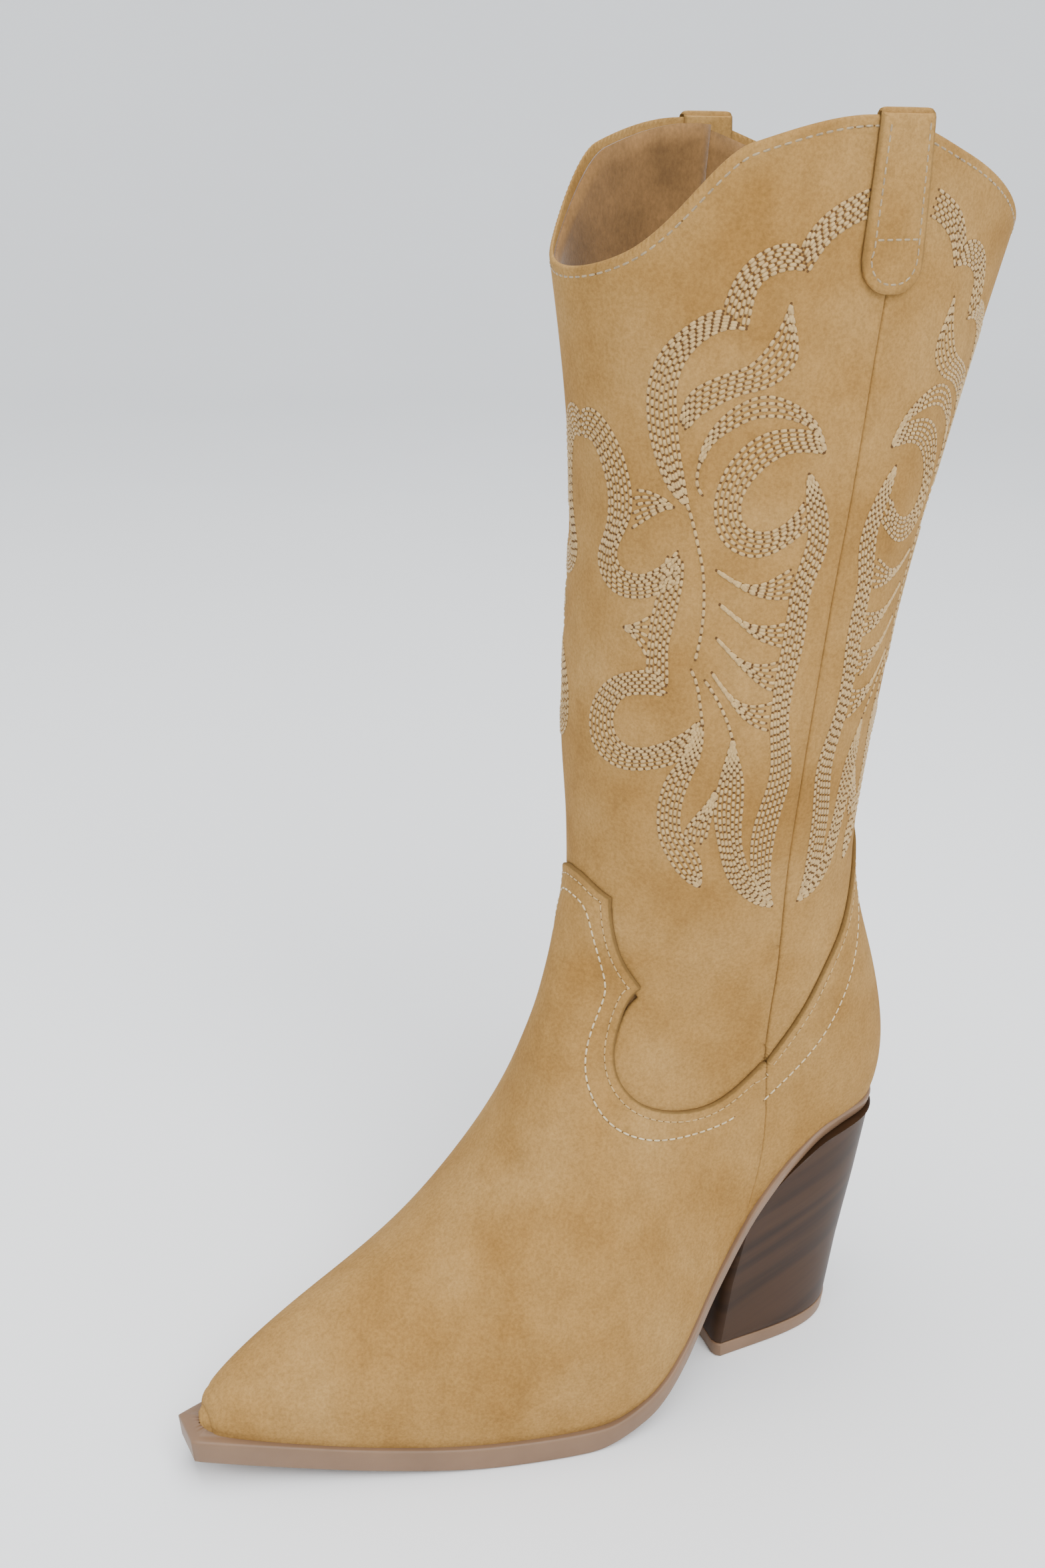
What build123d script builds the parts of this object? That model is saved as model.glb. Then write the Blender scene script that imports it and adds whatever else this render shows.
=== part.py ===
"""A left western boot with a high block heel and an inside zip, as separate pieces.

Working frame: X runs from the heel to the toe, Y to the wearer's left (the outer side),
Z up from the ground. X = 0 is the back of the heel seat. All sizes are millimetres.
The pieces are moved to the box's bottom centre when they are written.
"""
from build123d import *
import math
import os
import numpy as np

# --- Driving dimensions -----------------------------------------------------------------
# The upper is a tube of cross-sections, from the toe tip up to the top of the shaft.
# Each section spans from its front (or top) point to its back (or bottom) point.
FRONT_LINE = [(247.5, 23), (236.5, 35), (206, 50), (172, 67), (143.5, 95), (131, 127),
              (124.5, 152.5), (119.5, 173), (117, 199), (118, 240.5), (117, 297), (134.5, 416)]
BACK_LINE = [(247, 12.5), (232, 8), (196, 0), (150, -7), (102, 3), (59, 43.5),
             (3.5, 78.5), (1, 130), (17, 178), (15, 231), (3.5, 291.5), (-36.5, 409)]
HALF_WIDTH = [5, 14, 29, 43.5, 49.5, 35.5, 31, 36, 41.5, 47.7, 50, 51]
WIDEST_AT = [.45, .40, .35, .33, .35, .40, .5, .5, .5, .5, .5, .5]
FRONT_POWER = [2.2, 2.1, 2, 2, 2, 2, 2, 2, 2, 2, 2, 2]
BACK_POWER = [3, 3, 3.5, 3.5, 3.5, 3, 2.6, 2.2, 2.1, 2, 2, 2]
SECTION_COUNT = 34           # sections lofted along the whole tube, evenly spaced
TOP_STATION = 11.2           # the tube runs on past its last station, above the topline
ARC_SPANS = 18               # spans of each section's curve

# Layers, as offsets from the tube: out is positive
FOXING_OUT = 0.5             # vamp and counter cover
SHAFT_OUT = -0.5             # they lap over the shaft, one thickness proud
UPPER_IN = -1.7
STIFFENER_OUT = -1.75
STIFFENER_IN = -2.4
PUFF_OUT = -2.0
LINING_OUT = -2.5            # the zip tapes and the stiffeners lie between upper and lining
LINING_IN = -3.3
BOARD_OUT = -3.5             # the insole board and the sock stop just short of the lining
STRAP_OUT = 1.1
STRAP_IN = -4.7
HEEL_STATION = 4.5           # the walls behind the side seam start at this station
PUFF_START = 0.9             # the toe puff starts at this station
TOE_WALL = 0.35              # the lining starts at this station, behind the vamp's closed tip

# Lines seen from the side, as (x, z)
TOPLINE = [(-60, 341), (-39, 361.5), (-13, 386), (23, 403), (58, 412.5), (93, 405), (120, 376),
           (137, 366), (150, 362)]
SOLE_TOP = [(-5, 87.3), (15, 87), (30, 85), (45, 77.5), (60, 65), (77, 44.5), (95, 25),
            (112, 13.5), (130, 8.8), (165, 9), (200, 11.3), (230, 14.8), (260, 18.6)]
SOLE_BOTTOM_SHANK = [(-5, 83), (15, 82.5), (30, 80.3), (45, 72.3), (60, 59), (77, 37.3), (95, 17.3),
                     (112, 5.3), (135, 0)]
SOLE_BOTTOM_TOE = [(160, 0), (200, 2.6), (230, 6), (260, 9.9)]
SIDE_SEAM = [(41, 430), (50, 367), (56, 316), (61.5, 273), (64.5, 229), (64.5, 205), (62.5, 169),
             (61, 119), (59.5, 95), (60.5, 84), (63.5, 71), (67, 60), (76, 35), (92, 0), (100, -20)]
FOXING_TOP = [(-40, 205), (8, 196), (30, 180), (43, 150), (61, 119), (78, 108), (91, 107),
              (103, 111.5), (109, 118.5)]
# The vamp's tongue, seen from the front, as (y, z), outer side only
TONGUE = [(25.6, 118.5), (21.5, 130), (20.8, 140), (22.8, 152)]
TONGUE_CORNER = (17.5, 174)
TONGUE_SHOULDER = (17, 181.5)
TONGUE_PEAK = 187

# The outsole seen from above, as (x, half width), from the toe's corner to the heel
SOLE_OUTLINE = [(235, 16.5), (200, 31), (170, 41.7), (140, 49.5), (120, 51), (100, 47),
                (80, 37.8), (60, 32.8), (40, 30), (20, 26), (5, 18.5), (-2.2, 0)]
TOE_FLAT_X, TOE_FLAT_HALF = 255.5, 7.3

# The heel, as (z, back x, breast x, half width at the breast)
HEEL_SECTIONS = [(5.7, 11.5, 72, 27.3), (30, 8, 69, 28), (58, 3.5, 64, 30), (88, -1.2, 58, 31)]
BREAST_HOLLOW = 3.0

INSOLE_BOARD = 2.0
SOCK_THICKNESS = 2.5
FILLER_DEPTH = 1.6

STRAP_FRONT, STRAP_BACK = 60.5, 39
STRAP_FOOT, STRAP_FOOT_INSIDE, STRAP_TOP = 366, 402, 414.5
STRAP_CORNER = 9

# The zip, on the inner side: an arc that bows out with the leg
ZIP_FOOT = Vector(62.5, -31.2, 124)
ZIP_HEAD = Vector(58, -49.6, 344)
ZIP_BOW = 6.0                # how far the arc's middle stands out from its chord
CHAIN_GAP, COIL_HALF, TAPE_HALF = 0.5, 3.0, 11
SLOT_HALF, LINING_SLOT_HALF = 5.6, 6.6
TAPE_OUT, TAPE_THICK, COIL_OUT = -1.2, 0.6, 0.9
STOP_LENGTH = 3.0
FLAP_OUT, FLAP_HALVES = (-5.9, -5.1), (-6, 9)    # sewn along its front edge only
SLIDER_LENGTH, SLIDER_HALF = 12, 5.2
PULL_LENGTH, PULL_HALF, PULL_THICK = 27, 3.6, 1.3

HEEL_SCREW_X, HEEL_NAIL_XY = 30, [(16, 9), (16, -9), (46, 14), (46, -14)]
LIFT_PIN_X = [30, 58]

os.makedirs("parts", exist_ok=True)


# --- The tube and its layers ------------------------------------------------------------
def curvatures(values):
    """Second derivatives of the cubic through evenly spaced values."""
    count = len(values)
    matrix = np.zeros((count, count))
    matrix[0, :3] = matrix[-1, -3:] = (1, -2, 1)
    right = np.zeros(count)
    for row in range(1, count - 1):
        matrix[row, row - 1:row + 2] = (1, 4, 1)
        right[row] = 6 * (values[row - 1] - 2 * values[row] + values[row + 1])
    return np.linalg.solve(matrix, right)


def cubic(values):
    values = np.asarray(values, float)
    second = curvatures(values)

    def at(station):
        low = int(min(max(math.floor(station), 0), len(values) - 2))
        b = station - low
        a = 1 - b
        return (a * values[low] + b * values[low + 1]
                + ((a ** 3 - a) * second[low] + (b ** 3 - b) * second[low + 1]) / 6)
    return at


CURVES = [cubic(v) for v in (
    [p[0] for p in FRONT_LINE], [p[1] for p in FRONT_LINE],
    [p[0] for p in BACK_LINE], [p[1] for p in BACK_LINE],
    HALF_WIDTH, WIDEST_AT, FRONT_POWER, BACK_POWER)]


def tube_point(station, angle):
    """A point of the tube: angle 0 is the front or top, 90 degrees the outer side."""
    fx, fz, bx, bz, half, widest, front_power, back_power = [c(station) for c in CURVES]
    c, s = math.cos(angle), math.sin(angle)
    power = 2 / (front_power if c >= 0 else back_power)
    along = math.copysign(abs(c) ** power, c)
    across = math.copysign(abs(s) ** power, s)
    place = widest + ((1 - widest) if c >= 0 else widest) * along
    return np.array([bx + (fx - bx) * place, half * across, bz + (fz - bz) * place])


def offset_point(station, angle, offset):
    """The tube's point moved off it by offset, within the plane of its section."""
    step = 1e-3
    point = tube_point(station, angle)
    around = tube_point(station, angle + step) - tube_point(station, angle - step)
    along = tube_point(station + step, angle) - tube_point(station - step, angle)
    normal = np.cross(around, along)
    normal = normal / np.linalg.norm(normal)
    front, back = tube_point(station, 0), tube_point(station, math.pi)
    if np.dot(normal, point - (front + back) / 2) < 0:
        normal = -normal
    plane_normal = np.cross(front - back, (0, 1, 0))
    plane_normal = plane_normal / np.linalg.norm(plane_normal)
    inplane = normal - np.dot(normal, plane_normal) * plane_normal
    return point + offset * inplane / max(np.dot(inplane, inplane), 0.3)


def even_stations(first, last, count):
    """Stations from the last down to the first, evenly spaced along the tube."""
    fine = np.linspace(first, last, 300)
    ends = [np.array([tube_point(s, angle) for s in fine]) for angle in (0, math.pi)]
    steps = sum(np.linalg.norm(np.diff(line, axis=0), axis=1) for line in ends) / 2
    length = np.concatenate([[0], np.cumsum(steps)])
    return np.interp(np.linspace(length[-1], 0, count), length, fine)


def arc_points(station, offset, start, end):
    turns = [math.radians(start + (end - start) * i / ARC_SPANS) for i in range(ARC_SPANS + 1)]
    return [tuple(offset_point(station, turn, offset)) for turn in turns]


def wall(out, inner, start, end, first, last, count):
    """The tube's wall between two offsets and two angles, from one station to another."""
    wires = []
    for station in even_stations(first, last, count):
        outside = arc_points(station, out, start, end)
        inside = arc_points(station, inner, end, start)
        wires.append(Wire([Edge.make_spline(outside), Edge.make_line(outside[-1], inside[0]),
                           Edge.make_spline(inside), Edge.make_line(inside[-1], outside[0])]))
    return Solid.make_loft(wires)


def core(offset, first, last, count):
    """The solid inside one offset of the tube."""
    wires = []
    for station in even_stations(first, last, count):
        outer = arc_points(station, offset, 0, 180)
        inner = [(x, -y, z) for x, y, z in reversed(outer)]
        wires.append(Wire([Edge.make_spline(outer, tangents=[(0, 1, 0), (0, -1, 0)]),
                           Edge.make_spline(inner, tangents=[(0, -1, 0), (0, 1, 0)])]))
    return Solid.make_loft(wires)


# --- Cutting prisms ---------------------------------------------------------------------
SIDE_REACH = 90


def side_prism_of(face):
    """A face drawn in X and Z, swept right across in Y."""
    placed = (Plane.XZ * face).moved(Location((0, -SIDE_REACH, 0)))
    return extrude(placed, 2 * SIDE_REACH, dir=(0, 1, 0))


def side_prism(edges):
    return side_prism_of(make_face(edges))


def curve_and_box(points, corners):
    """A smooth line closed by straight runs through the corners."""
    curve = Spline(*points)
    return [curve, Polyline(points[-1], *corners, points[0])]


def below_topline():
    return side_prism(curve_and_box(TOPLINE, [(290, 362), (290, -40), (-60, -40)]))


def above_sole(top=460):
    corners = [(290, SOLE_TOP[-1][1]), (290, top), (-60, top), (-60, SOLE_TOP[0][1])]
    return side_prism(curve_and_box(SOLE_TOP, corners))


def band(lift_low, lift_high):
    """The band between two copies of the sole's top line, raised by the two lifts."""
    low = [(x, z + lift_low) for x, z in SOLE_TOP]
    high = [(x, z + lift_high) for x, z in SOLE_TOP]
    edges = [Spline(*low), Line(low[-1], high[-1]), Spline(*high), Line(high[0], low[0])]
    return side_prism(edges)


def tongue_prism():
    cusp = TONGUE[-1]
    waist = ((cusp[0] + TONGUE_CORNER[0]) / 2 - 1.2, (cusp[1] + TONGUE_CORNER[1]) / 2)
    half = [Spline(*TONGUE), Spline(cusp, waist, TONGUE_CORNER),
            Line(TONGUE_CORNER, TONGUE_SHOULDER),
            Spline(TONGUE_SHOULDER, (8, TONGUE_PEAK - 2), (0, TONGUE_PEAK))]
    other = [mirror(e, Plane.YZ) for e in half]
    (foot, low), drop = TONGUE[0], 12
    base = Polyline((foot, low), (foot, low - drop), (-foot, low - drop), (-foot, low))
    placed = Plane.YZ * make_face(half + other + [base])
    return extrude(placed.moved(Location((84, 0, 0))), 80)


def foxing_region():
    """Everything that the vamp and the counter cover take."""
    corners = [(290, FOXING_TOP[-1][1]), (290, -40), (-40, -40)]
    return side_prism(curve_and_box(FOXING_TOP, corners)) + tongue_prism()


# --- The zip's frame --------------------------------------------------------------------
def zip_frame():
    """The plane of the zip's arc: origin at its centre, X out through its middle, Z across."""
    chord = ZIP_HEAD - ZIP_FOOT
    radius = (chord.length ** 2 / 4 + ZIP_BOW ** 2) / (2 * ZIP_BOW)
    up = chord.normalized()
    out = (Vector(0, -1, 0) - up * Vector(0, -1, 0).dot(up)).normalized()
    middle = (ZIP_HEAD + ZIP_FOOT) * 0.5 + out * ZIP_BOW
    return Plane(origin=middle - out * radius, x_dir=out, z_dir=out.cross(up)), radius


ZIP_PLANE, ZIP_RADIUS = zip_frame()
ZIP_ANGLE = math.degrees(2 * math.asin((ZIP_HEAD - ZIP_FOOT).length / 2 / ZIP_RADIUS))


def degrees(length):
    return math.degrees(length / ZIP_RADIUS)


def zip_strip(out_low, out_high, half_low, half_high, start=0.0, end=None):
    """A strip along the arc. Lengths start and end are measured up from the zip's foot."""
    total = math.radians(ZIP_ANGLE) * ZIP_RADIUS
    end = total if end is None else end
    low, high = ZIP_RADIUS + out_low, ZIP_RADIUS + out_high
    outline = Polyline((low, half_low), (high, half_low), (high, half_high), (low, half_high),
                       (low, half_low))
    face = Plane.XZ * make_face(outline)
    swept = revolve(face, Axis.Z, degrees(end - start))
    turned = swept.rotate(Axis.Z, degrees(start) - ZIP_ANGLE / 2)
    return turned.moved(ZIP_PLANE.location)


ZIP_LENGTH = math.radians(ZIP_ANGLE) * ZIP_RADIUS
SLIDER_AT = ZIP_LENGTH - STOP_LENGTH - SLIDER_LENGTH / 2 - 0.4
SLIDER_TRAVEL = SLIDER_AT - STOP_LENGTH - SLIDER_LENGTH / 2 - 0.4


def on_zip(shape, length):
    """Places a shape drawn about the origin (X out, Y up, Z across) on the arc."""
    turn = degrees(length) - ZIP_ANGLE / 2
    return shape.moved(Location((ZIP_RADIUS, 0, 0))).rotate(Axis.Z, turn).moved(ZIP_PLANE.location)


def block(x0, x1, y0, y1, z0, z1):
    return Box(x1 - x0, y1 - y0, z1 - z0).moved(
        Location(((x0 + x1) / 2, (y0 + y1) / 2, (z0 + z1) / 2)))


BAIL_OUT = 3.9               # the pull's hinge line stands this far out of the arc
BAIL_UP = 2.0                # and this far above the slider's middle


def slider_shape():
    half_length = SLIDER_LENGTH / 2
    top = block(1.25, 2.3, -half_length, half_length, -SLIDER_HALF, SLIDER_HALF)
    under = block(-3.0, -2.05, -half_length, half_length, -4.6, 4.6)
    post = block(-2.5, 1.8, 2.0, 5.2, -0.28, 0.28)
    flanges = [block(-0.7, 1.8, -half_length, half_length, side * 4.3 - .9, side * 4.3 + .9)
               for side in (1, -1)]
    ears = [block(2.0, 5.1, BAIL_UP - 2.2, BAIL_UP + 2.2, side * 2.5 - .6, side * 2.5 + .6)
            for side in (1, -1)]
    bar = Cylinder(0.75, 5.4).moved(Location((BAIL_OUT, BAIL_UP, 0)))
    return top + under + post + flanges + ears + bar


def pull_shape():
    eye = Cylinder(1.5, 3.2).moved(Location((BAIL_OUT, BAIL_UP, 0)))
    neck = block(BAIL_OUT - .6, BAIL_OUT + .6, BAIL_UP - 6, BAIL_UP - .6, -1.5, 1.5)
    tab_top = BAIL_UP - 5
    tab = block(BAIL_OUT - PULL_THICK / 2, BAIL_OUT + PULL_THICK / 2, tab_top - PULL_LENGTH + 6,
                tab_top, -PULL_HALF, PULL_HALF)
    tab = fillet(tab.edges().filter_by(Axis.X), 2.4)
    hole = Cylinder(0.85, 8).moved(Location((BAIL_OUT, BAIL_UP, 0)))
    return eye + neck + tab - hole


# --- Soles and heel ---------------------------------------------------------------------
def sole_outline():
    corner = (TOE_FLAT_X, TOE_FLAT_HALF)
    outer = Spline(corner, *SOLE_OUTLINE, tangents=[(-1, .42), (0, -1)])
    toe = Line((corner[0], -corner[1]), corner)
    return make_face([outer, mirror(outer, Plane.XZ), toe])


def shank_line():
    """The outsole's bottom from the heel seat down to the ball, seen from the side."""
    return Spline(*SOLE_BOTTOM_SHANK, tangents=[(1, -.01), (1, 0)])


def outsole_blank():
    reach = 275
    bottom = [shank_line(),
              Line(SOLE_BOTTOM_SHANK[-1], SOLE_BOTTOM_TOE[0]),
              Spline(*SOLE_BOTTOM_TOE, tangents=[(1, 0), (1, .13)])]
    ends = [Line(SOLE_BOTTOM_TOE[-1], SOLE_TOP[-1]), Line(SOLE_TOP[0], SOLE_BOTTOM_SHANK[0])]
    return side_prism(bottom + ends + [Spline(*SOLE_TOP)]) & extrude(sole_outline(), reach)


def under_sole():
    start, end = SOLE_BOTTOM_SHANK[0], SOLE_BOTTOM_SHANK[-1]
    return side_prism([shank_line(), Polyline(end, (end[0], -40), (start[0], -40), start)])


def heel_wire(z, back, breast, half):
    side_start = back + (breast - back) * .52
    points = [(breast, half, z), (side_start, half - .6, z),
              (back + (side_start - back) * .3, half * .72, z), (back, 0, z)]
    mirrored = [(x, -y, z) for x, y, _ in reversed(points[:-1])]
    around = Edge.make_spline(points + mirrored, tangents=[(-1, 0, 0), (1, 0, 0)])
    front = Edge.make_three_point_arc((breast, -half, z), (breast - BREAST_HOLLOW, 0, z),
                                      (breast, half, z))
    return Wire([around, front])


def heel_blank():
    return Solid.make_loft([heel_wire(*s) for s in HEEL_SECTIONS])


def lift_blank():
    z, back, breast, half = HEEL_SECTIONS[0]
    return Solid.make_loft([heel_wire(0, back + .4, breast - .2, half - .3),
                            heel_wire(z, back - .3, breast + .3, half + .3)], ruled=True)


def rod(x, y, low, high, radius):
    return Cylinder(radius, high - low).moved(Location((x, y, (low + high) / 2)))


# --- Assembly ---------------------------------------------------------------------------
def one(shape):
    """The largest solid of a cut shape: a cut may leave slivers behind."""
    return max(shape.solids(), key=lambda s: s.volume)


def cut(shape, tools):
    solid = one(shape)
    for tool in tools:
        solid = one(solid - tool)
    return solid


def halves(out, inner, first):
    """The front and the back part of a wall. They overlap at the side seams."""
    return (wall(out, inner, -150, 150, first, TOP_STATION, SECTION_COUNT),
            wall(out, inner, 80, 280, max(first, HEEL_STATION), TOP_STATION, SECTION_COUNT))


def strap_prism():
    outline = Polyline((STRAP_BACK, STRAP_TOP), (STRAP_FRONT, STRAP_TOP),
                       (STRAP_FRONT, STRAP_FOOT), (STRAP_BACK, STRAP_FOOT), (STRAP_BACK, STRAP_TOP))
    face = make_face(outline)
    return side_prism_of(fillet(face.vertices().group_by(Axis.Y)[0], STRAP_CORNER))


def build():
    parts = {}
    keep = below_topline() & above_sole()
    foxing = foxing_region()
    ahead = side_prism(curve_and_box(SIDE_SEAM, [(300, -20), (300, 430)]))
    slot = zip_strip(-9, 9, -SLOT_HALF, SLOT_HALF)
    lining_slot = zip_strip(-9, TAPE_OUT, -LINING_SLOT_HALF, LINING_SLOT_HALF)
    tapes = {"zip_tape_back": zip_strip(TAPE_OUT - TAPE_THICK, TAPE_OUT, -TAPE_HALF, -CHAIN_GAP),
             "zip_tape_front": zip_strip(TAPE_OUT - TAPE_THICK, TAPE_OUT, CHAIN_GAP, TAPE_HALF)}
    zip_room = [slot, *tapes.values()]

    # Shaft, vamp and counter cover
    sides = (keep & ahead, keep - ahead)
    for half, side, name in zip(halves(SHAFT_OUT, UPPER_IN, HEEL_STATION), sides,
                                ("shaft_front", "shaft_back")):
        parts[name] = cut(half & (side - foxing), zip_room)
    for half, side, name in zip(halves(FOXING_OUT, UPPER_IN, 0), sides,
                                ("vamp", "heel_counter_cover")):
        parts[name] = cut(half & (side & foxing), zip_room)
    tip = core(UPPER_IN + .6, .02, .3, 4)
    parts["vamp"] = one(parts["vamp"] + (tip & keep))

    # Stiffeners and linings
    puff = wall(PUFF_OUT, STIFFENER_IN, -115, 115, PUFF_START, 1.8, 12)
    parts["toe_puff"] = one(puff & keep)
    counter = wall(STIFFENER_OUT, STIFFENER_IN, 108, 252, 5, 7.2, 12)
    parts["counter_stiffener"] = one(counter & keep)
    low = block(-80, 300, -90, 90, -20, 150)
    names = (("vamp_lining", "shaft_lining_front"), ("heel_lining", "shaft_lining_back"))
    for half, side, (low_name, high_name) in zip(halves(LINING_OUT, LINING_IN, TOE_WALL), sides,
                                                 names):
        lining = cut(half & side, [lining_slot, *tapes.values()])
        parts[low_name], parts[high_name] = one(lining & low), one(lining - low)

    # Pull straps: folded over the topline, outside and inside
    prism = strap_prism()
    for name, middle in (("pull_strap_lateral", 90), ("pull_strap_medial", 270)):
        reach = (middle - 25, middle + 25, 9.5, TOP_STATION, 8)
        thick = wall(STRAP_OUT, STRAP_IN, *reach)
        between = wall(SHAFT_OUT, LINING_IN, *reach) & below_topline()
        below_leg = wall(LINING_IN, STRAP_IN - 2, *reach) & block(0, 100, -90, 90, 300,
                                                                  STRAP_FOOT_INSIDE)
        parts[name] = cut(thick & prism, [between, below_leg])

    # Bottom: outsole, shank, filler, insole board, sock
    outsole = outsole_blank()
    inside = core(BOARD_OUT, TOE_WALL, 7.5, 26)
    parts["insole_board"] = one(inside & band(0, INSOLE_BOARD))
    parts["sock_lining"] = one(inside & band(INSOLE_BOARD, INSOLE_BOARD + SOCK_THICKNESS))
    pocket = band(-FILLER_DEPTH, 0)
    parts["shank"] = one(pocket & block(22, 122, -7, 7, 0, 100))
    forepart = inside & pocket & block(128, 226, -60, 60, -10, 40)
    parts["bottom_filler"] = one(forepart)
    outsole = outsole - parts["shank"] - parts["bottom_filler"]

    # Heel
    heel = heel_blank() & under_sole()
    lift = lift_blank()

    # Fasteners
    seat = 87.0 + INSOLE_BOARD
    screw = rod(HEEL_SCREW_X, 0, 38, seat - .6, 2.5) + rod(HEEL_SCREW_X, 0, seat - 3.2, seat - .6, 5)
    screw = screw - block(HEEL_SCREW_X - 3.5, HEEL_SCREW_X + 3.5, -.6, .6, seat - 1.8, seat)
    nails = [rod(x, y, 60, 85.5 if x < 30 else 76, 1.2) for x, y in HEEL_NAIL_XY]
    pins = [rod(x, 0, 1.5, 22, 2.2) for x in LIFT_PIN_X]
    for tool in [screw] + nails:
        outsole = outsole - tool
        heel = heel - tool
        parts["insole_board"] = parts["insole_board"] - tool
        parts["shank"] = parts["shank"] - tool
        parts["sock_lining"] = parts["sock_lining"] - tool
    for tool in pins:
        heel = heel - tool
        lift = lift - tool
    parts["outsole"] = one(outsole)
    parts["heel_block"] = one(heel)
    parts["heel_top_lift"] = one(lift)
    parts["insole_board"] = one(parts["insole_board"])
    parts["sock_lining"] = one(parts["sock_lining"])
    parts["shank"] = one(parts["shank"])
    parts["heel_screw"] = screw
    parts["heel_nails"] = Compound(nails)
    parts["top_lift_pins"] = Compound(pins)

    # Zip
    parts.update(tapes)
    parts["zip_coil_front"] = zip_strip(TAPE_OUT, COIL_OUT, CHAIN_GAP, COIL_HALF)
    parts["zip_coil_back"] = zip_strip(TAPE_OUT, COIL_OUT, -COIL_HALF, -CHAIN_GAP)
    head = [zip_strip(COIL_OUT, COIL_OUT + .8, s * 1.9 - 1.3, s * 1.9 + 1.3,
                      ZIP_LENGTH - STOP_LENGTH, ZIP_LENGTH) for s in (1, -1)]
    parts["zip_top_stops"] = Compound(head)
    parts["zip_bottom_stop"] = zip_strip(COIL_OUT, COIL_OUT + .8, -3.2, 3.2, 0, STOP_LENGTH)
    parts["zip_guard_flap"] = zip_strip(*FLAP_OUT, *FLAP_HALVES, 12, ZIP_LENGTH - 2)
    parts["zip_slider"] = on_zip(slider_shape(), SLIDER_AT)
    parts["zip_pull"] = on_zip(pull_shape(), SLIDER_AT)
    return parts


def pull_hinge():
    """The middle of the bar that the zip's pull swings on, with the slider at the top."""
    turn = math.radians(degrees(SLIDER_AT) - ZIP_ANGLE / 2)
    reach = ZIP_RADIUS + BAIL_OUT
    across = reach * math.cos(turn) - BAIL_UP * math.sin(turn)
    along = reach * math.sin(turn) + BAIL_UP * math.cos(turn)
    return ZIP_PLANE.from_local_coords(Vector(across, along, 0))


def write(parts):
    """Moves the boot to its box's bottom centre and writes one file per piece."""
    box = Compound(list(parts.values())).bounding_box()
    shift = Vector(-(box.min.X + box.max.X) / 2, -(box.min.Y + box.max.Y) / 2, 0)
    for name, shape in parts.items():
        export_step(shape.moved(Location(shift)), f"parts/{name}.step")
    print("shift", shift, "box", box.size)
    print("zip centre", ZIP_PLANE.origin + shift, "axis", ZIP_PLANE.z_dir, "radius", ZIP_RADIUS)
    print("slider travel, degrees", degrees(SLIDER_TRAVEL), "pull hinge", pull_hinge() + shift)


write(build())
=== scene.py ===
"""A left western boot in tan faux suede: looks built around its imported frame.

Working frame, in millimetres: X from the heel to the toe, Y to the outer side, Z up.
Angles go round the tube of the upper: 0 is the front ridge, 90 degrees the outer side.
"""
import math

import bmesh
import bpy
import numpy as np
from mathutils import Matrix, Vector
from mathutils.geometry import delaunay_2d_cdt
from mathutils.kdtree import KDTree


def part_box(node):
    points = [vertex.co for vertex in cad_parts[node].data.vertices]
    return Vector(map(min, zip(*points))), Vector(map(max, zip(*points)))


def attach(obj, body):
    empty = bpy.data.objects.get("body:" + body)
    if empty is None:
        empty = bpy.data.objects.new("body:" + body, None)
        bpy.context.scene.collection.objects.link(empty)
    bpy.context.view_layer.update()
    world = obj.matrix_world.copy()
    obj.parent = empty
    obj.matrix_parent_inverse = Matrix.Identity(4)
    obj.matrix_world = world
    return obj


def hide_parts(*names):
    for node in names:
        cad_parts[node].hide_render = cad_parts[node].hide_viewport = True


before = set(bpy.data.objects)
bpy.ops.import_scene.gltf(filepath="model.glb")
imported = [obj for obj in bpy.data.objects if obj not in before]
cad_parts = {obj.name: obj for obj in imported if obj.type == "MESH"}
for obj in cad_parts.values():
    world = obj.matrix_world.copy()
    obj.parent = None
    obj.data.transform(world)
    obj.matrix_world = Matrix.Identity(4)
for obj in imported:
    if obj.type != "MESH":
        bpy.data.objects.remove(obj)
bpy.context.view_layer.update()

MM = 0.001
OUTSOLE_BACK = -2.2
SOLE_LOW, SOLE_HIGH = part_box("outsole")
SHIFT = np.array([SOLE_LOW.x / MM - OUTSOLE_BACK, (SOLE_LOW.y + SOLE_HIGH.y) / 2 / MM, 0.0])

# --- The upper's tube: the same driving lines as the CAD part ---------------------------
FRONT_LINE = [(247.5, 23), (236.5, 35), (206, 50), (172, 67), (143.5, 95), (131, 127),
              (124.5, 152.5), (119.5, 173), (117, 199), (118, 240.5), (117, 297), (134.5, 416)]
BACK_LINE = [(247, 12.5), (232, 8), (196, 0), (150, -7), (102, 3), (59, 43.5),
             (3.5, 78.5), (1, 130), (17, 178), (15, 231), (3.5, 291.5), (-36.5, 409)]
HALF_WIDTH = [5, 14, 29, 43.5, 49.5, 35.5, 31, 36, 41.5, 47.7, 50, 51]
WIDEST_AT = [.45, .40, .35, .33, .35, .40, .5, .5, .5, .5, .5, .5]
FRONT_POWER = [2.2, 2.1, 2, 2, 2, 2, 2, 2, 2, 2, 2, 2]
BACK_POWER = [3, 3, 3.5, 3.5, 3.5, 3, 2.6, 2.2, 2.1, 2, 2, 2]

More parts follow.
